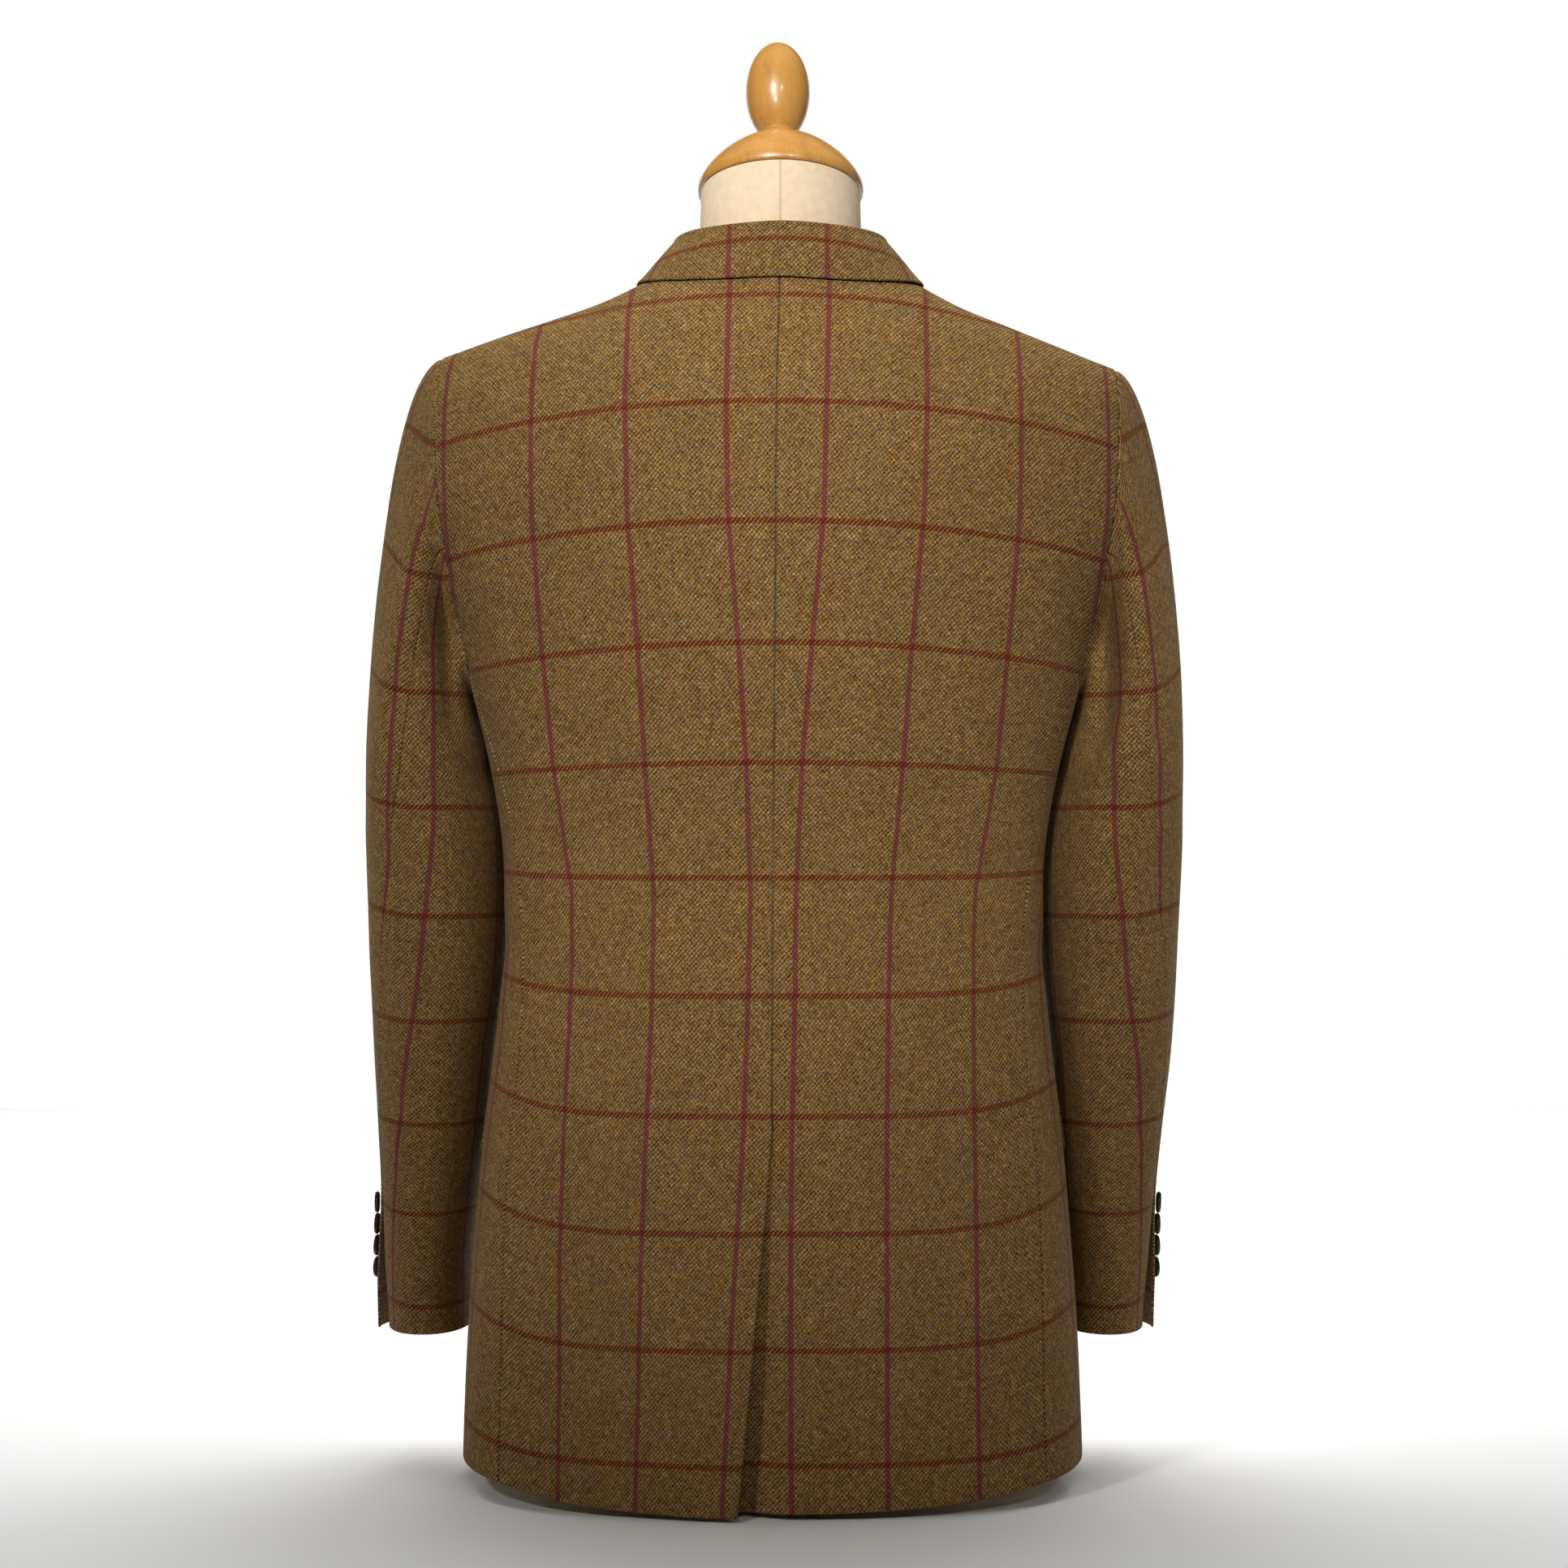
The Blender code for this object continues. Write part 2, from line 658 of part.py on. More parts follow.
def armhole_loop():
    """Points round the left armhole from the shoulder, down the back and up the front, with the way out."""
    loop = []
    for row in range(BODY_ROWS, SIDE_ROWS, -1):
        climb = body_climb(row / BODY_ROWS, 0.0, SIDE_SEAM_TOP, RIDGE_CLIMB)
        out = back_edge(climb)
        way = torso(out + PROBE, climb, BEHIND) - torso(out - PROBE, climb, BEHIND)
        loop.append((torso(out, climb, BEHIND), way))
    for column in range(SIDE_COLUMNS):
        share = column / SIDE_COLUMNS
        top = side_top(share)
        way = side_point(share, top + PROBE) - side_point(share, top - PROBE)
        loop.append((side_point(share, top), way))
    for row in range(SIDE_ROWS, BODY_ROWS):
        climb = body_climb(row / BODY_ROWS, 0.0, FORE_SEAM_TOP, RIDGE_CLIMB)
        out = front_edge(climb)
        way = torso(out + PROBE, climb, FRONT) - torso(out - PROBE, climb, FRONT)
        loop.append((torso(out, climb, FRONT), way))
    squared = []
    for index, (point, way) in enumerate(loop):
        along = unit(loop[(index + 1) % len(loop)][0] - loop[index - 1][0])
        squared.append((point, unit(way - along * way.dot(along))))
    return squared


def armhole_turns(loop):
    """Turns in degrees round the loop: 0 at the shoulder, 180 at the lowest point."""
    lengths = [0.0]
    for index in range(len(loop)):
        following = loop[(index + 1) % len(loop)][0]
        lengths.append(lengths[-1] + (following - loop[index][0]).length)
    lowest = min(range(len(loop)), key=lambda index: loop[index][0].z)
    turns = []
    for index in range(len(loop)):
        if index <= lowest:
            turns.append(180.0 * lengths[index] / lengths[lowest])
        else:
            turns.append(180.0 + 180.0 * (lengths[index] - lengths[lowest]) / (lengths[-1] - lengths[lowest]))
    return turns


def armhole_at(turn):
    """The point of the armhole at a turn, and the unit way out of the panel there."""
    turn = turn % 360.0
    count = len(ARMHOLE)
    for index in range(count):
        begin = ARMHOLE_TURNS[index]
        end = ARMHOLE_TURNS[index + 1] if index + 1 < count else 360.0
        if begin <= turn <= end:
            share = (turn - begin) / (end - begin)
            first, second = ARMHOLE[index], ARMHOLE[(index + 1) % count]
            return mix(first[0], second[0], share), unit(mix(first[1], second[1], share))
    return ARMHOLE[0]


def sleeve_ring(turn, height):
    outer = curve(SLEEVE, "outer", height)
    inner = curve(SLEEVE, "inner", height)
    angle = math.radians(turn)
    return Vector((
        (outer + inner) / 2 + (outer - inner) / 2 * power(math.cos(angle), 2 / SLEEVE_ROUNDNESS),
        curve(SLEEVE, "middle", height)
        + curve(SLEEVE, "depth", height) * power(math.sin(angle), 2 / SLEEVE_ROUNDNESS),
        height,
    ))


def smooth_sleeve(turn, travel):
    """The left sleeve without folds."""
    if travel >= 1.0:
        return sleeve_ring(turn, mix(BICEPS, CUFF, travel - 1.0))
    seam, way = armhole_at(turn)
    low = (1.0 - math.cos(math.radians(turn))) / 2
    lead_way = unit(mix(way, ARMPIT_WAY, low ** 1.5))
    lean = math.sqrt(max(1.0 - lead_way.dot(way) ** 2, 0.0))
    start = seam + way * (mix(SEAM_GAP, ARMPIT_GAP, low) + WALL / 2 * lean)
    end = sleeve_ring(turn, BICEPS)
    span = (end - start).length
    lead = lead_way * (HEAD_LEAD + HEAD_LEAD_SHARE * span)
    fall = (sleeve_ring(turn, BICEPS - 1.0) - end) * span
    return hermite(start, lead, end, fall, travel)


def fold_depth(side, turn, height):
    total = 0.0
    for fold in FOLDS:
        if fold.sleeve != side:
            continue
        run_turn = (fold.turn_end - fold.turn_start) * TURN_TO_MM
        run_height = fold.height_end - fold.height_start
        away_turn = (turn - fold.turn_start) * TURN_TO_MM
        away_height = height - fold.height_start
        along = (away_turn * run_turn + away_height * run_height) / (run_turn ** 2 + run_height ** 2)
        along = min(max(along, 0.0), 1.0)
        distance = math.hypot(away_turn - along * run_turn, away_height - along * run_height)
        total += fold.depth * math.exp(-(distance / fold.width) ** 2)
    return total


def hind_turn(travel):
    return curve(HIND_SEAM, "turn", travel)


def sleeve_point(side, turn, travel, flare=0.0):
    point = smooth_sleeve(turn, travel)
    angle = math.radians(turn)
    radial = Vector((math.cos(angle), math.sin(angle), 0.0))
    hold = ease(travel * FOLD_HOLD)
    point = point + radial * (flare + fold_depth(side, turn, point.z) * hold)
    point.x += SLEEVE_SWING[side] * ease((CUFF_SWING_TOP - point.z) / (CUFF_SWING_TOP - CUFF))
    return on_side(side, point)


def sleeve_travel(row):
    if row <= HEAD_SHARE:
        return (row / HEAD_SHARE) ** HEAD_CROWDING
    return 1.0 + (row - HEAD_SHARE) / (1.0 - HEAD_SHARE)


def sleeve_height(travel):
    return mix(BICEPS, CUFF, max(travel - 1.0, 0.0))


def cuff_flare(turn, travel):
    height = sleeve_height(travel)
    near_edge = ease(1.0 - (hind_turn(travel) - turn) / CUFF_FLARE_TURN)
    return CUFF_FLARE * ease((CUFF_VENT_TOP - height) / (CUFF_VENT_TOP - CUFF)) * near_edge


def top_sleeve_surface(side):
    def surface(column, row):
        travel = sleeve_travel(row)
        slit = CUFF_SLIT_TURN * ease((CUFF_VENT_TOP + CUFF_SLIT_BLEND - sleeve_height(travel)) / CUFF_SLIT_RAMP)
        turn = mix(hind_turn(travel) - SEAM_TURN - slit, FORE_TURN + SEAM_TURN, column)
        return sleeve_point(side, turn, travel, cuff_flare(turn, travel))
    return surface


def under_sleeve_surface(side):
    def surface(column, row):
        travel = sleeve_travel(row)
        turn = mix(hind_turn(travel) + SEAM_TURN, 360.0 + FORE_TURN - SEAM_TURN, column)
        return sleeve_point(side, turn, travel)
    return surface


# Pocket flaps

def flap_surface(side):
    def surface(column, row):
        angle = math.radians(mix(FLAP_BACK_ANGLE, FLAP_FRONT_ANGLE, column))
        corner = max(abs(column - 0.5) * 2 - FLAP_CORNER_START, 0.0) / (1.0 - FLAP_CORNER_START)
        height = FLAP_TOP - (FLAP_DEPTH - FLAP_CORNER * corner) * row
        around = girth(angle + 0.01, height) - girth(angle - 0.01, height)
        normal = unit(around.cross(Vector((0, 0, 1))))
        if normal.dot(Vector((1, 0, 0))) < 0:
            normal = -normal
        point = girth(angle, height)
        lift = front_lift(side, point.x, height) if point.y < 0 else 0.0
        return on_side(side, point + normal * (LAYER + lift + FLAP_STAND * row))
    return surface


# Turned pieces

def turned(name, profile, turned_steps, material):
    """A profile of (radius, height) from the top of the axis down to its foot, turned about Z."""
    line = bmesh.new()
    verts = [line.verts.new((radius * MM, 0.0, height * MM)) for radius, height in profile]
    for first, second in zip(verts, verts[1:]):
        line.edges.new((first, second))
    mesh = bpy.data.meshes.new(name)
    line.to_mesh(mesh)
    line.free()
    mesh.materials.append(material)
    piece = bpy.data.objects.new(name, mesh)
    parts.objects.link(piece)
    lathe = piece.modifiers.new("Lathe", "SCREW")
    lathe.axis = "Z"
    lathe.steps = turned_steps
    lathe.render_steps = turned_steps
    lathe.use_merge_vertices = True
    lathe.merge_threshold = 0.00001
    lathe.use_smooth_shade = True
    return piece


def button(name, radius, height, place, normal, material):
    profile = [(radius * row.radius, height * row.height) for row in BUTTON_SHAPE]
    piece = turned(name, profile, BUTTON_STEPS, material)
    piece.location = (place + normal * (WALL / 2 + BUTTON_GAP)) * MM
    piece.rotation_mode = "QUATERNION"
    piece.rotation_quaternion = normal.to_track_quat("Z", "Y")
    return piece


def cap_profile():
    """A flat seat for the knob, the dome and a thin rounded lip."""
    dome = [(0.0, CAP_LIP + CAP_DOME)]
    for step in range(8):
        angle = mix(math.pi / 2, 0.0, step / 7)
        radius = mix(CAP_FLAT, CAP_RADIUS, max(math.cos(angle), 0.0) ** (2 / CAP_FULLNESS))
        height = CAP_LIP + CAP_DOME * math.sin(angle) ** (2 / CAP_FULLNESS)
        dome.append((radius, height))
    return dome + [(CAP_RADIUS, CAP_EASE), (CAP_RADIUS - CAP_EASE, 0.0), (0.0, 0.0)]


def knob_profile():
    """An egg that narrows to a neck and flares again on the cap."""
    outline = [(0.0, KNOB_MIDDLE + KNOB_UPPER)]
    for step in range(1, 12):
        angle = mix(math.pi / 2, KNOB_FOOT, step / 11)
        rise = KNOB_UPPER if angle > 0 else KNOB_LOWER
        outline.append((KNOB_RADIUS * math.cos(angle), KNOB_MIDDLE + rise * math.sin(angle)))
    neck_radius, neck_height = outline[-1]
    for step in range(1, 4):
        share = step / 3
        outline.append((mix(neck_radius, STEM_RADIUS, share * share), neck_height * (1.0 - share)))
    return outline + [(0.0, 0.0)]


# Dress form

def inside_torso(out, away, height):
    """Whether a point is within the cloth's middle layer."""
    column = "back" if away > 0 else "front"
    level = min(height, BLADES)
    half_width = curve(TORSO, "half_width", level)
    depth = ring_depth(out, half_width, curve(TORSO, column, level))
    if abs(out) >= half_width:
        return False
    if height <= BLADES:
        return abs(away) < depth
    rise = (height - BLADES) / (curve(SHOULDER, "height", abs(out)) - BLADES)
    return rise < 1.0 and abs(away) < depth * math.sqrt(1.0 - rise * rise)


def reach(way, height):
    """How far the torso reaches from the middle in a level direction."""
    near, far = 0.0, 300.0
    for _ in range(26):
        half = (near + far) / 2
        if inside_torso(way.x * half, way.y * half, height):
            near = half
        else:
            far = half
    return near


def form_ring(height):
    room = curve(FORM_ROOM, "room", height)
    limit = curve(FORM_ROOM, "arm_limit", height)
    ring = []
    for side in range(FORM_SIDES):
        angle = 2 * math.pi * side / FORM_SIDES
        way = unit(Vector((FORM_WIDE * math.sin(angle), FORM_DEEP * math.cos(angle), 0.0)))
        length = min(reach(way, height), reach(way, height + room)) - room
        if abs(way.x) > 0.01:
            length = min(length, limit / abs(way.x))
        ring.append(way * length + Vector((0, 0, height)))
    return ring


def neck_ring(row):
    ring = []
    for side in range(FORM_SIDES):
        angle = 2 * math.pi * side / FORM_SIDES
        depth = row.back if math.cos(angle) > 0 else row.front
        away = depth * math.cos(angle)
        tilt = away * math.tan(NECK_TILT) * ease((row.height - FORM_NECK[0].height) / NECK_TILT_RISE)
        ring.append(Vector((row.half_width * math.sin(angle), away, row.height + tilt)))
    return ring


def dress_form(material):
    rings = [form_ring(level) for level in FORM_LEVELS] + [neck_ring(row) for row in FORM_NECK]
    rings = [[settle(point) for point in ring] for ring in rings]
    solid = bmesh.new()
    bmesh.ops.create_circle(solid, cap_ends=True, segments=FORM_SIDES, radius=1.0)
    places = list(solid.verts)
    edge = list(solid.edges)
    for vert, point in zip(places, rings[0]):
        vert.co = point * MM
    for ring in rings[1:]:
        grown = bmesh.ops.extrude_edge_only(solid, edges=edge)["geom"]
        edge = [item for item in grown if isinstance(item, bmesh.types.BMEdge) and item.is_boundary]
        fresh = [item for item in grown if isinstance(item, bmesh.types.BMVert)]
        below = {vert: index for index, vert in enumerate(places)}
        ordered = [None] * FORM_SIDES
        for vert in fresh:
            parent = next(link.other_vert(vert) for link in vert.link_edges if link.other_vert(vert) in below)
            ordered[below[parent]] = vert
        places = ordered
        for vert, point in zip(places, ring):
            vert.co = point * MM
    bmesh.ops.holes_fill(solid, edges=edge, sides=0)
    return keep_mesh("form_body", solid, material)


# Materials

def finish(name, colour, roughness):
    material = bpy.data.materials.new(name)
    material.use_nodes = True
    shader = material.node_tree.nodes["Principled BSDF"]
    shader.inputs["Base Color"].default_value = (*colour, 1.0)
    shader.inputs["Roughness"].default_value = roughness
    shader.inputs["Metallic"].default_value = 0.0
    return material


for old in list(bpy.data.objects):
    bpy.data.objects.remove(old, do_unlink=True)

parts = bpy.data.collections.new("jacket_on_dress_form")
bpy.context.scene.collection.children.link(parts)

wool = finish("wool_tweed", (0.19, 0.12, 0.05), 0.9)
linen = finish("cream_linen", (0.78, 0.70, 0.56), 0.85)
varnished = finish("varnished_wood", (0.60, 0.26, 0.07), 0.3)
horn = finish("dark_horn", (0.035, 0.02, 0.012), 0.4)

ARMHOLE = armhole_loop()
ARMHOLE_TURNS = armhole_turns(ARMHOLE)

for word, hand in (("left", LEFT), ("right", RIGHT)):
    cloth(f"back_{word}", back_surface(hand), BACK_COLUMNS, BODY_ROWS, wool)
    cloth(f"side_{word}", side_surface(hand), SIDE_COLUMNS, SIDE_ROWS, wool)
    cloth(f"front_{word}", front_surface(hand), FRONT_COLUMNS, BODY_ROWS, wool)
    cloth(f"lapel_{word}", lapel_surface(hand), 5, 10, wool)
    cloth(f"sleeve_{word}_top", top_sleeve_surface(hand), 10, SLEEVE_ROWS, wool)
    cloth(f"sleeve_{word}_under", under_sleeve_surface(hand), 10, SLEEVE_ROWS, wool)
    cloth(f"pocket_flap_{word}", flap_surface(hand), 10, 3, wool)
cloth("collar", collar_surface, 4 * NECK_COLUMNS, COLLAR_ROWS, wool)

for word, hand in (("left", LEFT), ("right", RIGHT)):
    for number, height in enumerate(CUFF_BUTTON_HEIGHTS, start=1):
        travel = 1.0 + (BICEPS - height) / (BICEPS - CUFF)
        row = HEAD_SHARE + (travel - 1.0) * (1.0 - HEAD_SHARE)
        face = top_sleeve_surface(hand)
        column = CUFF_BUTTON_TURN / (hind_turn(travel) - FORE_TURN)
        normal = wall_normal(face, column, row)
        if normal.x * hand < 0:
            normal = -normal
        button(f"cuff_button_{word}_{number}", CUFF_BUTTON_RADIUS, CUFF_BUTTON_HEIGHT,
               face(column, row), normal, horn)

for number, height in enumerate(FRONT_BUTTON_HEIGHTS, start=1):
    button(f"front_button_{number}", FRONT_BUTTON_RADIUS, FRONT_BUTTON_HEIGHT,
           on_side(LEFT, front_point(LEFT, 0.0, height)), torso_normal(0.0, height, FRONT), horn)

dress_form(linen)
cap = turned("neck_cap", cap_profile(), TURNED_STEPS, varnished)
cap.location = settle(Vector((0.0, NECK_MIDDLE, FORM_NECK[-1].height + SEAM_GAP / 2))) * MM
cap.rotation_euler = (NECK_TILT, 0.0, 0.0)
knob = turned("finial", knob_profile(), TURNED_STEPS, varnished)
knob.parent = cap
knob.location = (KNOB_SHIFT * MM, 0.0, (CAP_LIP + CAP_DOME + SEAM_GAP) * MM)
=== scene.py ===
"""Finish of a tailored checked wool jacket and the limbless dress form that it rests on.

Each cloth piece is a thin sheet on the surface of its solid, with its own creases, sunk seams and
pressed edges, and with a grain map in metres that carries the weave and the check. Sizes below are
in millimetres and are scaled to metres as each mesh is written. +Z is up, the front faces -Y and
the wearer's left is +X.
"""

import math
from collections import namedtuple

import bpy
import numpy as np
from mathutils import Matrix, Vector, noise


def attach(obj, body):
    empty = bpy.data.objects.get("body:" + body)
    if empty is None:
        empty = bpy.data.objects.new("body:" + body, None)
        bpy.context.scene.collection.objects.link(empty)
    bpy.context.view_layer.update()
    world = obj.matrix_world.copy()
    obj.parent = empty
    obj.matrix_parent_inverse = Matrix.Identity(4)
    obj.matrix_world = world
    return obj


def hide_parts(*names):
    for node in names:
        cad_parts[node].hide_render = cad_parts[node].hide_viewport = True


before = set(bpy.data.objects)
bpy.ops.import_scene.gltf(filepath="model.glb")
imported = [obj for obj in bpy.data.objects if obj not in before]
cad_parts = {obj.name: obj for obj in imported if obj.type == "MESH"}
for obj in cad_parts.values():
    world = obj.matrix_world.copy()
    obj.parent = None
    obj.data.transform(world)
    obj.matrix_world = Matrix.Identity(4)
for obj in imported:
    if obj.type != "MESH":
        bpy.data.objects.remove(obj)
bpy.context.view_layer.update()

MM = 0.001
LEFT = 1.0
RIGHT = -1.0
BEHIND = 1.0
FRONT = -1.0

# Cloth
WALL = 2.0
SEAM_GAP = 0.3
LAYER = WALL + 0.4
EDGE_STEPS = (0.0, 0.35, 0.9, 1.7, 2.8)
GRID_STEP = 4.0
PROBE = 0.3
LEAST_STEPS = 4
TINY = 1e-9
FAR = 1e9

# Edges: how wide the rounding is and how far it sinks
Rim = namedtuple("Rim", "width sink")
SEWN = Rim(2.0, 0.6)
FLAT_SEAM = Rim(1.2, 0.15)
PRESSED = Rim(1.6, 0.0)
RIM_LEAST = 0.3
RIM_HOLD = 0.15
INNER_SINK = 0.3

# Torso outline, level by level from the hem to the shoulder blades
Ring = namedtuple("Ring", "height half_width back front")
TORSO = (
    Ring(0, 202.0, 119.0, 116.0),
    Ring(53, 200.5, 118.5, 118.0),
    Ring(139, 196.0, 116.5, 120.0),
    Ring(225, 188.5, 111.0, 120.0),
    Ring(300, 180.0, 101.0, 117.0),
    Ring(345, 176.0, 93.0, 113.5),
    Ring(385, 175.5, 89.0, 112.0),
    Ring(425, 178.0, 91.5, 113.5),
    Ring(470, 186.0, 100.0, 117.0),
    Ring(515, 197.0, 108.0, 120.0),
    Ring(560, 208.0, 114.0, 121.5),
    Ring(600, 222.0, 117.0, 122.0),
    Ring(640, 234.0, 118.0, 122.0),
)
ROUNDNESS = 2.6
BLADES = 640.0
ROLL = 160.0
RIDGE_CLIMB = BLADES + ROLL

# Height of the shoulder ridge by distance from the centre
Ridge = namedtuple("Ridge", "out height")
SHOULDER = (
    Ridge(0, 810.0),
    Ridge(35, 805.0),
    Ridge(70, 793.0),
    Ridge(116, 770.0),
    Ridge(146, 758.5),
    Ridge(181, 746.0),
    Ridge(221, 732.0),
    Ridge(260, 720.5),
)
NECK_WIDTH = 66.5
NECK_BACK = 60.0
NECK_ROUNDNESS = 2.2
NECK_INSIDE = 0.01
SHOULDER_WIDTH = 221.0

# How the jacket sits: a slight lean of the centre line, and the left shoulder higher than the right
Lean = namedtuple("Lean", "height shift")
LEAN = (Lean(0, 0.0), Lean(300, -0.2), Lean(560, -2.1), Lean(700, -3.1), Lean(790, -5.0), Lean(960, -5.0))
SHOULDER_TILT = 0.0165
TILT_FROM = 520.0
TILT_FULL = 720.0
TILT_TOP = 800.0
TILT_FADE = 60.0

# Seams between the body panels, as a share of the half width at each height
Seam = namedtuple("Seam", "height share")
SIDE_SEAM = (
    Seam(0, 0.853), Seam(100, 0.860), Seam(200, 0.880), Seam(300, 0.887),
    Seam(385, 0.922), Seam(450, 0.948), Seam(530, 0.990),
)
FORE_SEAM = (
    Seam(0, 0.800), Seam(200, 0.815), Seam(385, 0.840), Seam(480, 0.875), Seam(545, 0.905),
)
SIDE_SEAM_TOP = 530.0
FORE_SEAM_TOP = 545.0
ARMHOLE_DIP = 31.0
ARMHOLE_SCOOP = 0.75
ARMHOLE_STEPS = {"back": 48, "side": 36, "front": 44}
ARMHOLE_REACH = 4
SIDE_TRIM = 0.0013

# Armhole edges of the back and the fronts, by climb up the panel
Edge = namedtuple("Edge", "climb out")
BACK_ARMHOLE = (
    Edge(530, 198.5), Edge(560, 204.5), Edge(600, 210.5), Edge(640, 215.5),
    Edge(670, 217.5), Edge(710, 219.0), Edge(760, 220.0), Edge(800, 221.0),
)
FRONT_ARMHOLE = (
    Edge(545, 184.6), Edge(580, 186.0), Edge(620, 189.0), Edge(660, 195.0),
    Edge(700, 203.0), Edge(745, 212.0), Edge(800, 221.0),
)

# Hem and centre vent
HEM_BACK = {LEFT: 2.8, RIGHT: 3.6}
HEM_BEND = {LEFT: 2.4, RIGHT: 2.7}
HEM_SIDE = 14.5
HEM_HIP = 5.0
HEM_FRONT = 8.0
VENT_TOP = 237.0
VENT_OPENING = 21.0
VENT_SPREAD = 1.1
VENT_SWING = 6.0
VENT_SWING_WIDTH = 70.0
UNDERLAP = 42.0
UNDERLAP_DROP = {"top": 3.6, "hem": 9.5}
UNDERLAP_RAMP = {"top": 16.0, "hem": 30.0}
UNDERLAP_REACH = 10.0
UNDERLAP_CORNER = 25.0
UNDERLAP_BLEND = 20.0
UNDERLAP_FOLLOW = 1.4

# Fronts and lapels
FRONT_OVERLAP = 16.0
OVERLAP_LIFT = 3.4
OVERLAP_FADE = 60.0
CLOSING_TOP = 620.0
CLOSING_FADE = 120.0
ROLL_START = 395.0
CUTAWAY_TOP = 330.0
CUTAWAY = 104.0
CUTAWAY_BELOW_HEM = 9.0
LAPEL_START = {LEFT: 402.0, RIGHT: 437.0}
LAPEL_STAND = 1.4
LAPEL_EDGE = (
    Edge(395, -12.0), Edge(450, 20.0), Edge(520, 56.0), Edge(600, 88.0), Edge(660, 110.0),
    Edge(700, 122.0), Edge(740, 128.0),
)
LAPEL_ROLL_LIFT = 3.0
LAPEL_ROLL_SPEED = 3.0
GORGE_CLIMB = 735.0
GORGE_SLOPE = 0.5
GORGE_GAP = 1.5
NOTCH_SHARE = 0.5
NOTCH_OPENING = 30.0

# Collar: it runs from 0 at the centre back over the shoulder ridge to 1 at the gorge
COLLAR_RIDGE = 0.5
COLLAR_STAND = {"back": 27.0, "side": 19.0, "gorge": 5.0}
COLLAR_EDGE_WIDTH = 93.0
COLLAR_EDGE_BACK = 72.0
COLLAR_EDGE_ROUNDNESS = 2.4
COLLAR_TIP_OUT = 114.0
COLLAR_FOLD = 2.6
COLLAR_SEAT = 1.8
STAND_SHARE = 0.2
FOLD_SHARE = 0.5
STAND_LEAST = 0.2
FALL_BEND = 1.5

# Sleeves, level by level from the cuff to the biceps
Sleeve = namedtuple("Sleeve", "height outer inner middle depth")
SLEEVE = (
    Sleeve(92, 253.0, 198.5, -65.0, 54.0),
    Sleeve(140, 255.5, 198.5, -58.0, 56.0),
    Sleeve(195, 259.0, 194.3, -49.0, 58.0),
    Sleeve(229, 261.5, 191.3, -44.0, 60.0),
    Sleeve(280, 265.0, 187.5, -35.0, 63.5),
    Sleeve(330, 267.0, 181.5, -27.0, 66.5),
    Sleeve(380, 268.0, 179.0, -20.0, 70.0),
    Sleeve(412, 268.5, 180.0, -17.0, 72.0),
    Sleeve(440, 268.5, 183.0, -15.0, 73.5),
    Sleeve(470, 268.5, 188.8, -14.0, 74.0),
)
SLEEVE_SWING = {LEFT: 7.0, RIGHT: -2.5}
SLEEVE_ROUNDNESS = 2.2
BICEPS = 470.0
CUFF = 92.0
CUFF_SWING_TOP = 330.0
HEAD_LEAD = 14.0
HEAD_LEAD_SHARE = 0.31
ARMPIT_GAP = 1.1
ARMPIT_WAY = Vector((1.0, 0.0, 0.15))
ARMPIT_BEND = 1.5
HEAD_CROWDING = 1.25
FOLD_HOLD = 5.0

# Sleeve seams: travel runs 0 to 1 down the sleeve head and 1 to 2 from the biceps to the cuff
Hind = namedtuple("Hind", "travel turn")
HIND_SEAM = (
    Hind(0.0, 95.0), Hind(1.0, 78.0), Hind(1.083, 68.0), Hind(1.23, 55.0),
    Hind(1.43, 44.0), Hind(1.684, 31.0), Hind(2.0, 24.0),
)
FORE_TURN = -62.0
CUFF_VENT_TOP = 206.0
CUFF_FLARE = 7.5
SEAM_TURN = 0.06
CUFF_SLIT_TURN = 1.6
CUFF_SLIT_BLEND = 20.0
CUFF_SLIT_RAMP = 30.0
CUFF_FLARE_TURN = 30.0
HEAD_SHARE = 0.42

# Largest sleeve folds: a line from start to end, by turn in degrees and height
Fold = namedtuple("Fold", "sleeve turn_start height_start turn_end height_end width depth")
FOLDS = (
    Fold(LEFT, 112, 625, 122, 500, 17, -5.0),
    Fold(LEFT, 80, 600, 52, 455, 20, 3.0),
    Fold(LEFT, 70, 395, 110, 330, 22, -3.5),
    Fold(RIGHT, 108, 630, 124, 490, 19, -8.0),
    Fold(RIGHT, 84, 640, 88, 470, 18, 4.0),
    Fold(RIGHT, 60, 380, 105, 325, 22, -3.5),
)
TURN_TO_MM = 1.1

# Pocket flaps, by angle round the body from the centre back
FLAP_BACK_ANGLE = 93.0
FLAP_FRONT_ANGLE = 152.0
FLAP_TOP = 262.0
FLAP_DEPTH = 55.0
FLAP_STAND = 1.8
FLAP_CORNER = 9.0
FLAP_CORNER_START = 0.8
FLAP_PROBE = 0.01

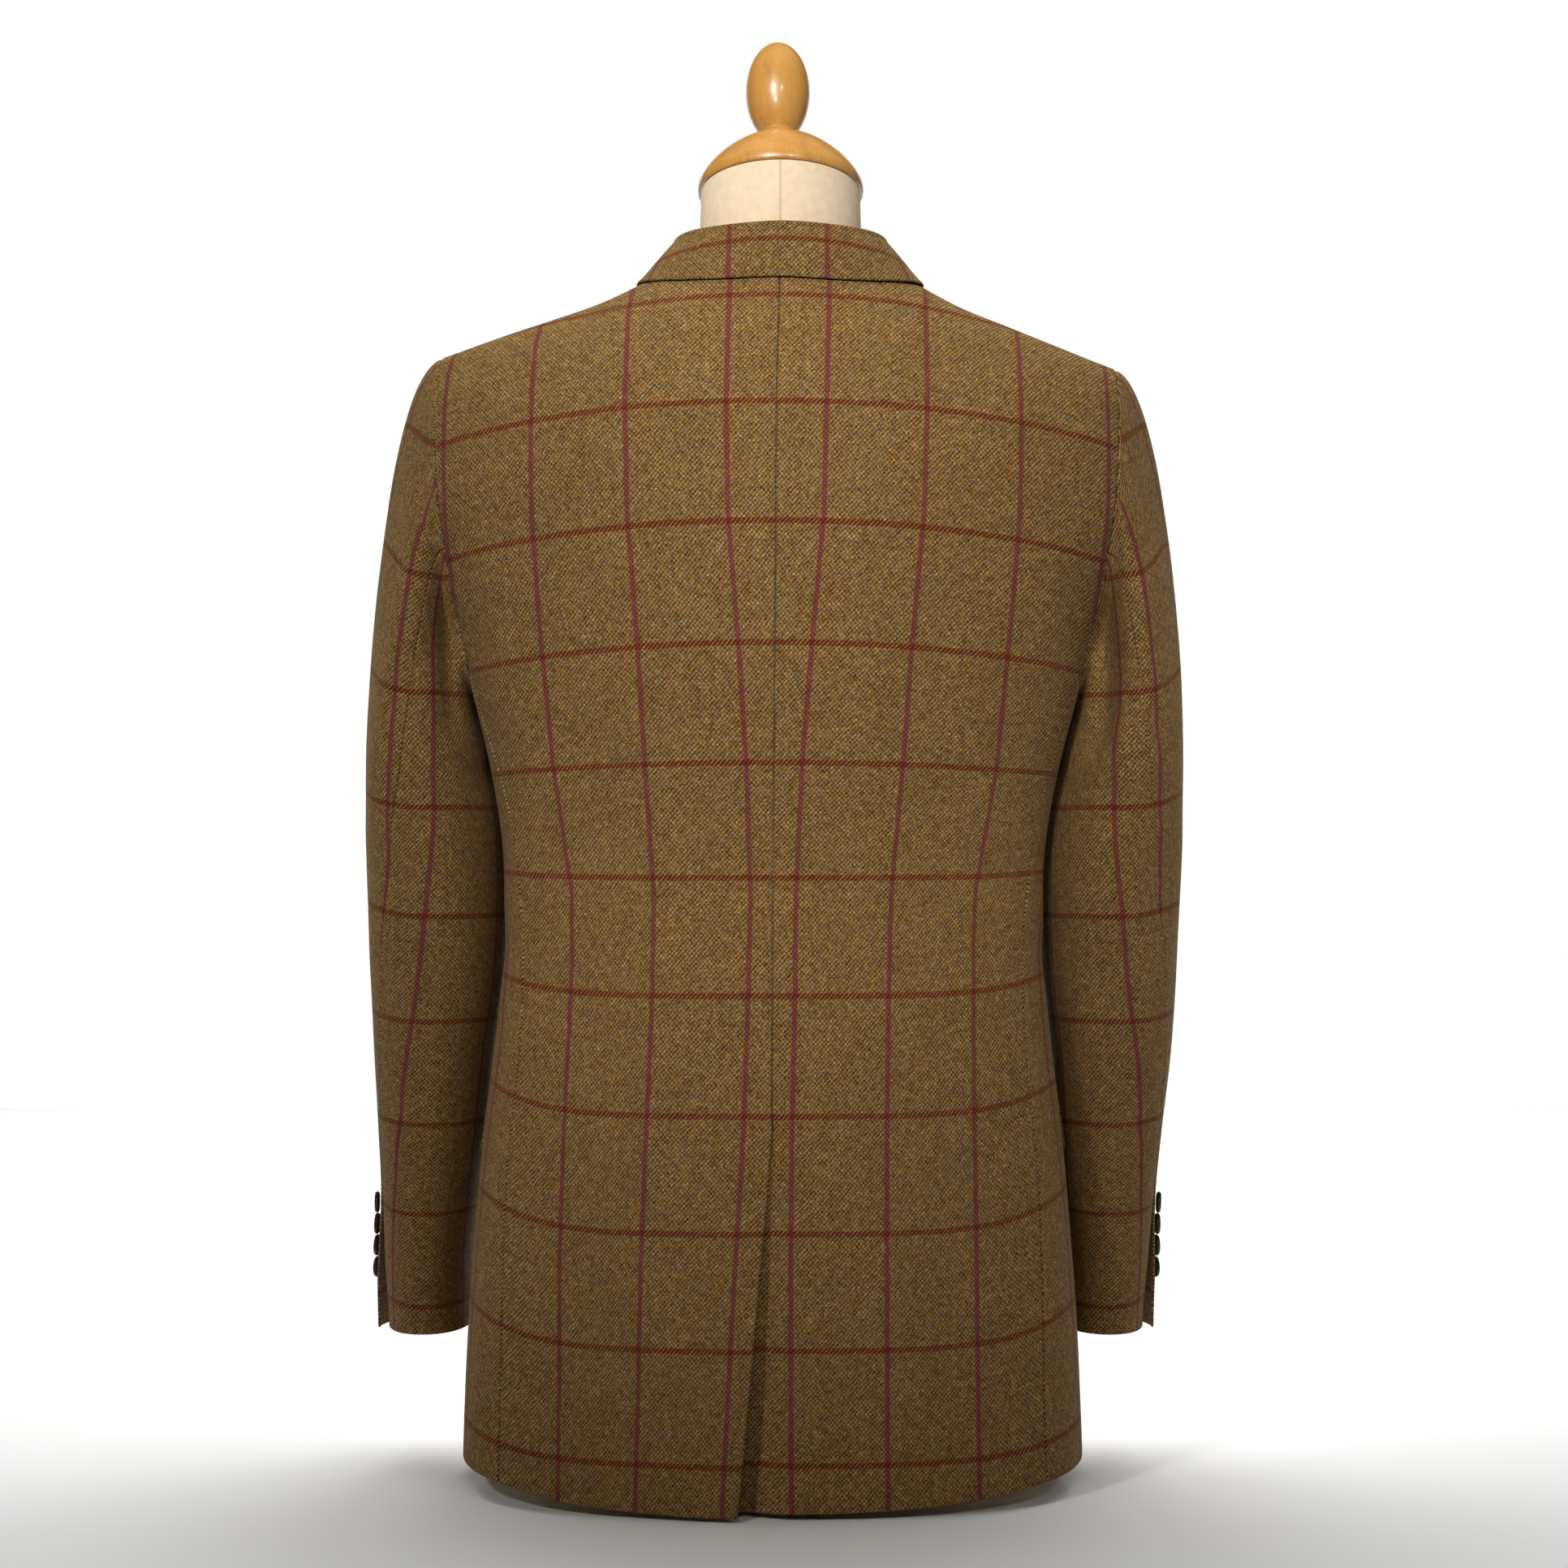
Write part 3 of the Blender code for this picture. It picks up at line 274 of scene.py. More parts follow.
# Buttons
Turn = namedtuple("Turn", "radius height")
BUTTON_GAP = 0.6
CUFF_BUTTON_RADIUS = 7.2
CUFF_BUTTON_HEIGHT = 3.2
CUFF_BUTTON_HEIGHTS = (177.0, 162.0, 147.0, 132.0)
CUFF_BUTTON_TURN = 11.8
FRONT_BUTTON_RADIUS = 10.0
FRONT_BUTTON_HEIGHT = 4.2
FRONT_BUTTON_HEIGHTS = (388.0, 290.0)
BUTTON_SHAPE = (
    Turn(0.70, 0.00), Turn(0.88, 0.08), Turn(0.98, 0.34), Turn(1.00, 0.55), Turn(0.97, 0.78),
    Turn(0.90, 0.95), Turn(0.82, 1.00), Turn(0.74, 0.95), Turn(0.66, 0.84), Turn(0.52, 0.78),
    Turn(0.26, 0.76), Turn(0.03, 0.76),
)
BUTTON_SIDES = 40
BUTTON_HOLE = 0.105
BUTTON_HOLE_OUT = 0.21
BUTTON_HOLE_SIDES = 14
BUTTON_HOLE_ANGLES = (45.0, 135.0, 225.0, 315.0)
BUTTON_NUDGE = 0.002

# Dress form: the room left under the cloth's middle layer, and how far it reaches at the arms
Room = namedtuple("Room", "height room arm_limit")
FORM_ROOM = (
    Room(0, 46.0, 260), Room(12, 30.0, 260), Room(35, 19.0, 260), Room(80, 15.0, 260),
    Room(200, 14.0, 260), Room(385, 8.0, 260), Room(470, 8.0, 260),
    Room(510, 10.0, 182), Room(560, 8.0, 184), Room(640, 7.0, 190), Room(700, 4.0, 194),
    Room(745, 2.6, 190), Room(772, 2.4, 190),
)
FORM_LEVELS = (
    0, 4, 12, 22, 35, 65, 100, 160, 220, 275, 325, 385, 435, 480, 530, 580, 630, 670, 700, 722, 738, 750,
    761, 772,
)
FORM_NECK = (
    Ring(784, 73.0, 54.0, 59.0),
    Ring(795, 58.5, 51.2, 56.0),
    Ring(806, 54.0, 50.6, 55.0),
    Ring(824, 53.0, 50.5, 54.5),
    Ring(845, 52.5, 50.5, 54.5),
)
NECK_LEVELS = (784, 789, 795, 800, 806, 815, 824, 835, 845)
NECK_TILT = math.radians(12.0)
NECK_TILT_RISE = 60.0
NECK_MIDDLE = -2.0
FORM_WIDE = 190.0
FORM_DEEP = 100.0
FORM_SIDES = 96
FORM_REACH = 300.0
FORM_REACH_STEPS = 22
FORM_ARM_SIDE = 0.01
FORM_SMOOTH = math.radians(50.0)

# Turned wooden cap and knob
CAP_RADIUS = 54.5
CAP_LIP = 4.5
CAP_DOME = 35.0
CAP_FULLNESS = 1.4
CAP_FLAT = 14.5
CAP_ROUNDING = ((2.0, 0.0), (0.8, 0.4), (0.2, 1.2), (0.0, 2.2))
CAP_STEPS = 24
CAP_MIDDLE = 0.3
STEM_RADIUS = 13.8
STEM_ROUNDING = 0.3
STEM_FOOT = 0.2
KNOB_RADIUS = 21.2
KNOB_MIDDLE = 34.0
KNOB_SHIFT = 1.9
KNOB_RISE = 34.8
KNOB_FOOT = math.radians(-56.0)
KNOB_TIP = 0.2
KNOB_STEPS = {"neck": 8, "egg": 28}
TURNED_SIDES = 96
TURNED_SMOOTH = math.radians(38.0)

# Check: the repeat across and along the cloth, and where its lines lie
CHECK_ACROSS = 61.0
CHECK_ALONG = 74.0
BODY_LINES = (34.0, 104.5, 176.0, 248.0, 322.0, 396.0, 468.0, 542.0, 616.5, 691.0, 762.5)
SLEEVE_LINES = (111.0, 174.0, 233.8, 302.4, 370.7, 440.6, 514.0, 589.0)
# Distance of the down lines from the centre line, by height, on each back panel
Down = namedtuple("Down", "height first second third fourth")
DOWN_LINES = {
    LEFT: (
        Down(0, 31.0, 84.5, 133.0, 187.0), Down(84, 26.5, 82.5, 132.0, 185.0),
        Down(160, 22.5, 81.0, 132.0, 183.0), Down(240, 17.6, 78.0, 130.0, 178.5),
        Down(322, 15.2, 75.0, 126.5, 174.0), Down(385, 14.2, 74.8, 127.0, 174.0),
        Down(468, 17.4, 80.6, 139.0, 193.0), Down(542, 22.8, 85.0, 145.7, 203.0),
        Down(620, 29.5, 91.5, 151.5, 209.5), Down(690, 31.0, 93.6, 153.0, 211.0),
        Down(810, 31.5, 94.0, 153.5, 211.5),
    ),
    RIGHT: (
        Down(0, 12.0, 71.5, 129.0, 188.0), Down(84, 12.0, 71.0, 127.5, 187.0),
        Down(160, 12.0, 71.0, 127.0, 186.0), Down(240, 12.5, 71.0, 126.0, 184.0),
        Down(322, 14.0, 72.5, 126.0, 176.0), Down(385, 14.2, 74.2, 127.5, 174.0),
        Down(468, 17.4, 80.6, 140.5, 194.0), Down(542, 22.8, 85.0, 145.7, 203.0),
        Down(620, 29.5, 91.5, 151.5, 209.5), Down(690, 31.0, 93.6, 153.0, 211.0),
        Down(810, 31.5, 94.0, 153.5, 211.5),
    ),
}
# How far a cross line has dropped, or risen, where it reaches the side
Sag = namedtuple("Sag", "height drop rise")
SAG = (
    Sag(0, 0.0, 6.0), Sag(34, 0.0, 9.0), Sag(104, 0.0, 15.5), Sag(176, 0.0, 21.0), Sag(248, 0.0, 21.0),
    Sag(322, 0.0, 19.0), Sag(396, 0.0, 6.0), Sag(468, 9.0, 0.0), Sag(542, 17.7, 0.0), Sag(616, 19.5, 0.0),
    Sag(690, 21.0, 0.0), Sag(770, 22.0, 0.0),
)
SAG_WIDTH = 212.0
RISE_WIDTH = 190.0
RISE_LIMIT = 1.05
RISE_BEND = 5.5
Droop = namedtuple("Droop", "height drop")
SLEEVE_SAG = (
    Droop(90, 6.0), Droop(175, 5.0), Droop(236, 5.7), Droop(305, 6.4), Droop(376, 10.0), Droop(447, 13.5),
    Droop(520, 20.0), Droop(600, 27.0), Droop(690, 29.0),
)
HEAD_ROLL = 690.0
SEAM_REACH = 14.0
LEVEL_STEP = 1.5
OUTER_TURN = 90.0
# First line of the smaller pieces, from an edge or from the centre
Place = namedtuple("Place", "height across")
SIDE_LINE = (Place(0, 50.0), Place(300, 24.0))
FRONT_LINE = 30.5
FLAP_LINE = 26.0
LAPEL_LINE = 34.0
LAPEL_CROSS_LINE = 21.0
COLLAR_LINE = 32.0
COLLAR_STRETCH = 1.03
COLLAR_FOLD_ROW = 0.33
COLLAR_CROSS_LINE = 16.4
COLLAR_SAG = 9.0
COLLAR_SAG_WIDTH = 90.0
COLLAR_SAG_LIMIT = 1.3
# Turn of the line nearest the hind seam on the top and the under sleeve, by travel
TOP_LINE = (
    Hind(0.0, 79.0), Hind(0.5, 74.0), Hind(1.0, 69.0), Hind(1.12, 61.0), Hind(1.24, 54.0), Hind(2.0, 45.0),
)
UNDER_LINE = (
    Hind(0.0, 104.0), Hind(1.0, 104.0), Hind(1.08, 100.0), Hind(1.25, 90.0), Hind(1.43, 82.0),
    Hind(1.6, 69.0), Hind(1.8, 56.0), Hind(2.0, 46.0),
)

# Creases drawn on a piece: start, bend and end, by two places on it, with a width and a depth
Crease = namedtuple("Crease", "start bend end width depth")
CREASES = {
    "back_left": (
        Crease((196, 612), (189, 545), (176, 478), 9, -1.3),
        Crease((168, 640), (160, 590), (158, 520), 16, 0.9),
        Crease((152, 352), (118, 344), (78, 352), 11, -0.9),
        Crease((150, 322), (110, 316), (60, 326), 15, 0.6),
        Crease((60, 215), (46, 150), (52, 60), 16, 0.9),
        Crease((120, 720), (80, 712), (36, 722), 15, -0.6),
        Crease((9, 225), (15, 120), (27, 4), 9, 1.6),
    ),
    "back_right": (
        Crease((1, 232), (9, 120), (20, 4), 8, -1.3),
        Crease((-198, 604), (-188, 540), (-172, 476), 10, -1.5),
        Crease((-172, 634), (-162, 580), (-160, 512), 17, 1.0),
        Crease((-146, 348), (-110, 356), (-70, 346), 12, -0.9),
        Crease((-150, 318), (-100, 326), (-48, 318), 14, 0.6),
        Crease((-52, 228), (-44, 150), (-60, 40), 18, -0.8),
        Crease((-128, 716), (-86, 724), (-30, 714), 14, -0.6),
    ),
    "side_left": (
        Crease((150, 372), (172, 360), (176, 330), 9, -1.3),
        Crease((120, 398), (160, 392), (172, 372), 11, 0.8),
    ),
    "side_right": (
        Crease((-148, 366), (-170, 362), (-178, 326), 9, -1.2),
        Crease((-124, 402), (-160, 390), (-174, 380), 10, 0.9),
    ),
    "front_left": (
        Crease((178, 560), (160, 520), (150, 452), 12, -1.6),
        Crease((128, 402), (84, 388), (18, 390), 13, -1.5),
        Crease((118, 372), (70, 366), (14, 384), 11, 1.1),
        Crease((60, 300), (40, 220), (70, 110), 16, -0.9),
    ),
    "front_right": (
        Crease((-176, 566), (-162, 520), (-146, 446), 12, -1.5),
        Crease((-122, 396), (-80, 392), (-20, 384), 12, -1.4),
        Crease((-130, 366), (-78, 360), (-24, 376), 12, 1.0),
        Crease((-74, 306), (-52, 210), (-84, 96), 17, -0.8),
    ),
    "sleeve_left": (
        Crease((118, 560), (100, 520), (62, 498), 11, -1.4),
        Crease((96, 428), (70, 410), (30, 414), 10, -1.1),
        Crease((40, 364), (78, 352), (112, 362), 9, 0.9),
        Crease((52, 262), (66, 238), (96, 226), 9, -1.5),
        Crease((-88, 402), (-60, 378), (-8, 372), 8, -1.9),
        Crease((-92, 360), (-58, 346), (-14, 330), 9, -1.6),
        Crease((-84, 318), (-50, 312), (-20, 296), 8, -1.2),
        Crease((262, 396), (232, 366), (212, 352), 9, -1.7),
        Crease((258, 352), (236, 330), (220, 326), 8, -1.4),
        Crease((-46, 640), (-52, 570), (-66, 500), 12, -1.5),
    ),
    "sleeve_right": (
        Crease((126, 556), (104, 512), (70, 486), 11, -1.8),
        Crease((106, 518), (130, 503), (168, 480), 20, -3.6),
        Crease((100, 500), (84, 470), (48, 452), 10, 1.1),
        Crease((102, 424), (74, 404), (36, 410), 10, -1.0),
        Crease((36, 356), (74, 344), (116, 354), 9, 0.9),
        Crease((48, 252), (70, 232), (92, 228), 9, -1.2),
        Crease((-90, 394), (-56, 380), (-10, 362), 8, -1.8),
        Crease((-86, 352), (-60, 336), (-18, 326), 9, -1.7),
        Crease((-80, 308), (-48, 304), (-24, 286), 8, -1.1),
        Crease((264, 390), (238, 364), (214, 346), 9, -1.6),
        Crease((256, 346), (238, 328), (222, 318), 8, -1.4),
        Crease((-48, 632), (-56, 566), (-64, 494), 12, -1.4),
    ),
}
CREASE_STEPS = 24
CREASE_TIP = 0.06
CREASE_FULLNESS = 0.8
CREASE_SHOULDER = 0.38
CREASE_SHOULDER_OUT = 1.7
UNEVEN = 0.35


# Small helpers

def mix(first, second, share):
    return first + (second - first) * share


def ease(share):
    share = min(max(share, 0.0), 1.0)
    return share * share * (3.0 - 2.0 * share)


def hermite(start, leave, end, arrive, share):
    square = share * share
    cube = square * share
    return (start * (2 * cube - 3 * square + 1) + leave * (cube - 2 * square + share)
            + end * (3 * square - 2 * cube) + arrive * (cube - square))


def curve(rows, column, at):
    """A smooth curve through one column of a table, level at its two ends."""
    last = len(rows) - 1
    at = min(max(at, rows[0][0]), rows[last][0])
    index = 0
    while index < last - 1 and at > rows[index + 1][0]:
        index += 1

    def slope(row):
        if row in (0, last):
            return 0.0
        rise = getattr(rows[row + 1], column) - getattr(rows[row - 1], column)
        return rise / (rows[row + 1][0] - rows[row - 1][0])

    span = rows[index + 1][0] - rows[index][0]
    share = (at - rows[index][0]) / span
    return hermite(getattr(rows[index], column), slope(index) * span,
                   getattr(rows[index + 1], column), slope(index + 1) * span, share)


def power(value, exponent):
    return math.copysign(abs(value) ** exponent, value)


def unit(vector):
    return vector / max(vector.length, TINY)


# Torso surface

def ring_depth(out, half_width, depth, roundness=ROUNDNESS):
    share = min(abs(out) / half_width, 1.0) ** roundness
    return depth * (1.0 - share) ** (1.0 / roundness)


def torso_width(level):
    return curve(TORSO, "half_width", level)


def torso_depth(facing, level):
    return curve(TORSO, "back" if facing > 0 else "front", level)


def torso(out, climb, facing):
    """A point of the torso. Climb is the height up to the blades and then rolls over the shoulder."""
    level = min(climb, BLADES)
    away = ring_depth(out, torso_width(level), torso_depth(facing, level))
    if climb <= BLADES:
        return Vector((out, facing * away, climb))
    roll = (climb - BLADES) / ROLL * math.pi / 2
    rise = curve(SHOULDER, "height", abs(out)) - BLADES
    return Vector((out, facing * away * math.cos(roll), BLADES + rise * math.sin(roll)))


def climb_for(out, away, facing):
    """The climb at which the rolled shoulder lies this far from the ridge."""
    full = ring_depth(out, torso_width(BLADES), torso_depth(facing, BLADES))
    return BLADES + ROLL * math.acos(min(away / full, 1.0)) / (math.pi / 2)


def girth(angle, height):
    """A point of a torso ring: angle 0 at the centre back, a half turn at the centre front."""
    return Vector((
        torso_width(height) * power(math.sin(angle), 2 / ROUNDNESS),
        torso_depth(math.cos(angle), height) * power(math.cos(angle), 2 / ROUNDNESS),
        height,
    ))


def seam_angle(rows, height):
    return math.asin(curve(rows, "share", height) ** (ROUNDNESS / 2))


def torso_normal(out, climb, facing):
    across = torso(out + PROBE, climb, facing) - torso(out - PROBE, climb, facing)
    up = torso(out, climb + PROBE, facing) - torso(out, climb - PROBE, facing)
    return unit(across.cross(up)) * -facing


# Edges of the body panels

def panel_edge(facing, climb):
    """Distance of a panel's outer edge from the centre line: its seam, then its armhole."""
    seam, armhole = (SIDE_SEAM, BACK_ARMHOLE) if facing > 0 else (FORE_SEAM, FRONT_ARMHOLE)
    if climb <= seam[-1].height:
        return curve(seam, "share", climb) * torso_width(climb)
    return curve(armhole, "out", climb)


def roll_line(climb):
    share = (climb - ROLL_START) / (RIDGE_CLIMB - ROLL_START)
    return mix(-FRONT_OVERLAP, NECK_WIDTH, share)


def opening_edge(climb):
    """The free edge of a front: the roll line, the straight closing and the rounded cutaway."""
    if climb > ROLL_START:
        return roll_line(climb)
    drop = max(CUTAWAY_TOP - climb, 0.0) / (CUTAWAY_TOP - HEM_FRONT + CUTAWAY_BELOW_HEM)
    return -FRONT_OVERLAP + CUTAWAY * (1.0 - math.sqrt(1.0 - drop * drop))


def back_top(out):
    """Climb of the back's top edge: the neckline, then the shoulder seam."""
    if out >= NECK_WIDTH:
        return RIDGE_CLIMB - 2 * SEAM_GAP
    away = ring_depth(out, NECK_WIDTH, NECK_BACK, NECK_ROUNDNESS)
    return min(climb_for(out, away, BEHIND), RIDGE_CLIMB - 2 * SEAM_GAP)


def side_top(share):
    scoop = max(math.sin(math.pi * share), 0.0) ** ARMHOLE_SCOOP
    return mix(SIDE_SEAM_TOP, FORE_SEAM_TOP, share) - ARMHOLE_DIP * scoop


def settle(point):
    """Lean and tilt of everything that stands on the base."""
    rising = ease((point.z - TILT_FROM) / (TILT_FULL - TILT_FROM))
    tilt = SHOULDER_TILT * point.x * rising * ease((TILT_TOP - point.z) / TILT_FADE)
    return Vector((point.x + curve(LEAN, "shift", point.z), point.y, point.z + tilt))


def on_side(side, point):
    return settle(Vector((side * point.x, point.y, point.z)))


# Back panels

def vent_edge(side, climb):
    """Distance of a back panel's inner edge from the centre line."""
    if side == LEFT:
        drop = max(VENT_TOP - climb, 0.0) / VENT_TOP
        return SEAM_GAP / 2 + VENT_OPENING * drop ** VENT_SPREAD
    return SEAM_GAP / 2 - UNDERLAP * ease((VENT_TOP - climb) / UNDERLAP_CORNER)


def vent_lift(side, out, climb):
    if side == LEFT:
        near_edge = ease(1.0 - (out - vent_edge(side, climb)) / VENT_SWING_WIDTH)
        return VENT_SWING * ease((VENT_TOP - climb) / VENT_TOP) * near_edge
    fall = ease((VENT_TOP - climb) / VENT_TOP)
    drop = mix(UNDERLAP_DROP["top"], UNDERLAP_DROP["hem"], fall)
    ramp_width = mix(UNDERLAP_RAMP["top"], UNDERLAP_RAMP["hem"], fall)
    full = UNDERLAP_REACH - UNDERLAP_FOLLOW * vent_edge(LEFT, climb)
    joining = ease((VENT_TOP + UNDERLAP_BLEND - climb) / UNDERLAP_BLEND)
    return -drop * joining * ease((full + ramp_width - out) / ramp_width)


def back_surface(side):
    def surface(share, rise):
        hem = mix(HEM_BACK[side], HEM_SIDE, share ** HEM_BEND[side])
        climb = mix(hem, back_top(share * SHOULDER_WIDTH), rise)
        out = mix(vent_edge(side, climb), panel_edge(BEHIND, climb) - SEAM_GAP / 2, share)
        point = torso(out, climb, BEHIND)
        point.y += vent_lift(side, out, climb)
        return on_side(side, point)
    return surface


# Side bodies

def side_point(share, height):
    back_angle = seam_angle(SIDE_SEAM, height)
    fore_angle = math.pi - seam_angle(FORE_SEAM, height)
    return girth(mix(back_angle, fore_angle, share), height)


def side_surface(side):
    def surface(share, rise):
        hem = HEM_SIDE + HEM_HIP * math.sin(math.pi * share)
        height = mix(hem, side_top(share), rise)
        return on_side(side, side_point(mix(SIDE_TRIM, 1.0 - SIDE_TRIM, share), height))
    return surface


# Fronts and lapels

def front_lift(side, out, climb):
    if side == RIGHT:
        return 0.0
    closing = ease((CLOSING_TOP - climb) / CLOSING_FADE)
    return OVERLAP_LIFT * ease((OVERLAP_FADE - out) / (OVERLAP_FADE - FRONT_OVERLAP)) * closing


def front_point(side, out, climb):
    point = torso(out, climb, FRONT)
    return point + torso_normal(out, climb, FRONT) * front_lift(side, out, climb)


def front_surface(side):
    def surface(share, rise):
        climb = mix(mix(HEM_SIDE, HEM_FRONT, share), RIDGE_CLIMB - 2 * SEAM_GAP, rise)
        out = mix(panel_edge(FRONT, climb) - SEAM_GAP / 2, opening_edge(climb), share)
        return on_side(side, front_point(side, out, climb))
    return surface


def gorge(out):
    """Climb of the seam between lapel and collar, dropping from the roll line outwards."""
    return GORGE_CLIMB - GORGE_SLOPE * (out - roll_line(GORGE_CLIMB))


def lapel_place(side, share, rise):
    top_out = mix(roll_line(GORGE_CLIMB), curve(LAPEL_EDGE, "out", GORGE_CLIMB), share)
    climb = mix(LAPEL_START[side], gorge(top_out) - GORGE_GAP, rise)
    inner = roll_line(climb) + 2 * SEAM_GAP
    if side == RIGHT:
        inner = max(inner, 5 * SEAM_GAP - roll_line(climb))
    return mix(inner, curve(LAPEL_EDGE, "out", climb), share), climb


def lapel_surface(side):
    def surface(share, rise):
        out, climb = lapel_place(side, share, rise)
        roll = LAPEL_ROLL_LIFT * (1.0 - share) ** 2 * ease(rise * LAPEL_ROLL_SPEED)
        base = front_point(side, out, climb)
        return on_side(side, base + torso_normal(out, climb, FRONT) * (LAYER + LAPEL_STAND + roll))
    return surface


# Collar

def past_ridge(around):
    """Share of the way from the shoulder ridge to the gorge, 0 behind the ridge."""
    return max(around - COLLAR_RIDGE, 0.0) / (1.0 - COLLAR_RIDGE)


def collar_seat(around):
    """Where the collar is sewn: out and climb on the torso, and which face it is on."""
    if around <= COLLAR_RIDGE:
        out = NECK_WIDTH * math.sin(around * math.pi) ** (2 / NECK_ROUNDNESS)
        return out, back_top(min(out, NECK_WIDTH - NECK_INSIDE)), BEHIND
    climb = mix(RIDGE_CLIMB, GORGE_CLIMB, past_ridge(around))
    return roll_line(climb), climb, FRONT


def collar_rim(around):
    """Where the collar's outer edge lies on the torso."""
    if around <= COLLAR_RIDGE:
        angle = around * math.pi
        out = COLLAR_EDGE_WIDTH * math.sin(angle) ** (2 / COLLAR_EDGE_ROUNDNESS)
        away = COLLAR_EDGE_BACK * max(math.cos(angle), 0.0) ** (2 / COLLAR_EDGE_ROUNDNESS)
        return out, climb_for(out, away, BEHIND), BEHIND
    share = past_ridge(around)
    tip = gorge(COLLAR_TIP_OUT) + NOTCH_OPENING
    return mix(COLLAR_EDGE_WIDTH, COLLAR_TIP_OUT, share), mix(RIDGE_CLIMB, tip, share), FRONT


def collar_stand(around):
    if around <= COLLAR_RIDGE:
        return mix(COLLAR_STAND["back"], COLLAR_STAND["side"], ease(around / COLLAR_RIDGE))
    return mix(COLLAR_STAND["side"], COLLAR_STAND["gorge"], past_ridge(around))


def collar_point(around, profile):
    """The profile climbs the stand, rounds the fold and falls to the edge."""
    seat_out, seat_climb, facing = collar_seat(around)
    rim_out, rim_climb, facing = collar_rim(around)
    seat = torso(seat_out, seat_climb, facing)
    rim = torso(rim_out, rim_climb, facing)
    front_share = past_ridge(around)
    raised = unit(mix(Vector((0, 0, 1)), torso_normal(seat_out, seat_climb, facing), front_share))
    outward = rim - seat
    outward = unit(outward - raised * outward.dot(raised))
    stand = collar_stand(around)
    foot = seat - outward * COLLAR_SEAT + raised * mix(0.0, LAYER, front_share)
    straight = max(stand - COLLAR_FOLD, STAND_LEAST)
    if profile <= STAND_SHARE:
        return foot + raised * straight * profile / STAND_SHARE
    if profile <= FOLD_SHARE:
        turn = (profile - STAND_SHARE) / (FOLD_SHARE - STAND_SHARE) * math.pi
        middle = foot + raised * straight + outward * COLLAR_FOLD
        return middle - outward * COLLAR_FOLD * math.cos(turn) + raised * COLLAR_FOLD * math.sin(turn)
    fall = (profile - FOLD_SHARE) / (1.0 - FOLD_SHARE)
    notch = NOTCH_OPENING * max(fall - NOTCH_SHARE, 0.0) / (1.0 - NOTCH_SHARE) - NOTCH_OPENING * fall
    out = mix(seat_out, rim_out, fall)
    climb = mix(seat_climb, rim_climb, fall) + notch * ease(front_share) ** 2
    normal = torso_normal(out, climb, facing)
    lift_way = unit(mix(raised, normal, fall))
    rest = LAYER + LAPEL_STAND * front_share
    lift = rest + (straight - rest + mix(0.0, LAYER, front_share)) * (1.0 - fall) ** FALL_BEND
    clear = outward * (2 * COLLAR_FOLD - COLLAR_SEAT) * (1.0 - fall)
    return torso(out, climb, facing) + lift_way * lift + clear


def collar_surface(share, profile):
    """The share runs from the left gorge round the back neck to the right gorge."""
    around = abs(share - 0.5) * 2
    return on_side(LEFT if share < 0.5 else RIGHT, collar_point(around, profile))


# Sleeves

def armhole_loop():
    """Points round the left armhole from the shoulder, down the back and up the front, with the way out."""
    def seam_point(climb, facing):
        out = panel_edge(facing, climb)
        way = torso(out + PROBE, climb, facing) - torso(out - PROBE, climb, facing)
        return torso(out, climb, facing), way

    loop = []
    for step in range(ARMHOLE_STEPS["back"]):
        climb = mix(RIDGE_CLIMB, SIDE_SEAM_TOP, step / ARMHOLE_STEPS["back"])
        loop.append(seam_point(climb, BEHIND))
    for step in range(ARMHOLE_STEPS["side"]):
        share = step / ARMHOLE_STEPS["side"]
        top = side_top(share)
        way = side_point(share, top + PROBE) - side_point(share, top - PROBE)
        loop.append((side_point(share, top), way))
    for step in range(ARMHOLE_STEPS["front"]):
        climb = mix(FORE_SEAM_TOP, RIDGE_CLIMB, step / ARMHOLE_STEPS["front"])
        loop.append(seam_point(climb, FRONT))
    squared = []
    count = len(loop)
    for index, (point, way) in enumerate(loop):
        along = unit(loop[(index + ARMHOLE_REACH) % count][0] - loop[index - ARMHOLE_REACH][0])
        squared.append((point, unit(way - along * way.dot(along))))
    return squared


def armhole_turns(loop):
    """Turns in degrees round the loop: 0 at the shoulder, 180 at the lowest point."""
    lengths = [0.0]
    for index in range(len(loop)):
        following = loop[(index + 1) % len(loop)][0]
        lengths.append(lengths[-1] + (following - loop[index][0]).length)
    lowest = min(range(len(loop)), key=lambda index: loop[index][0].z)
    down, up = lengths[lowest], lengths[-1] - lengths[lowest]
    turns = []
    for length in lengths[:-1]:
        turns.append(180.0 * length / down if length <= down else 180.0 + 180.0 * (length - down) / up)
    return turns


ARMHOLE = armhole_loop()
ARMHOLE_TURNS = np.array(armhole_turns(ARMHOLE) + [360.0])


def armhole_at(turn):
    """The point of the armhole at a turn, and the unit way out of the panel there."""
    turn = turn % 360.0
    count = len(ARMHOLE)
    index = min(int(np.searchsorted(ARMHOLE_TURNS, turn, side="right")) - 1, count - 1)
    share = (turn - ARMHOLE_TURNS[index]) / (ARMHOLE_TURNS[index + 1] - ARMHOLE_TURNS[index])
    first, second = ARMHOLE[index], ARMHOLE[(index + 1) % count]
    return mix(first[0], second[0], share), unit(mix(first[1], second[1], share))


def sleeve_ring(turn, height):
    outer = curve(SLEEVE, "outer", height)
    inner = curve(SLEEVE, "inner", height)
    angle = math.radians(turn)
    return Vector((
        (outer + inner) / 2 + (outer - inner) / 2 * power(math.cos(angle), 2 / SLEEVE_ROUNDNESS),
        curve(SLEEVE, "middle", height)
        + curve(SLEEVE, "depth", height) * power(math.sin(angle), 2 / SLEEVE_ROUNDNESS),
        height,
    ))


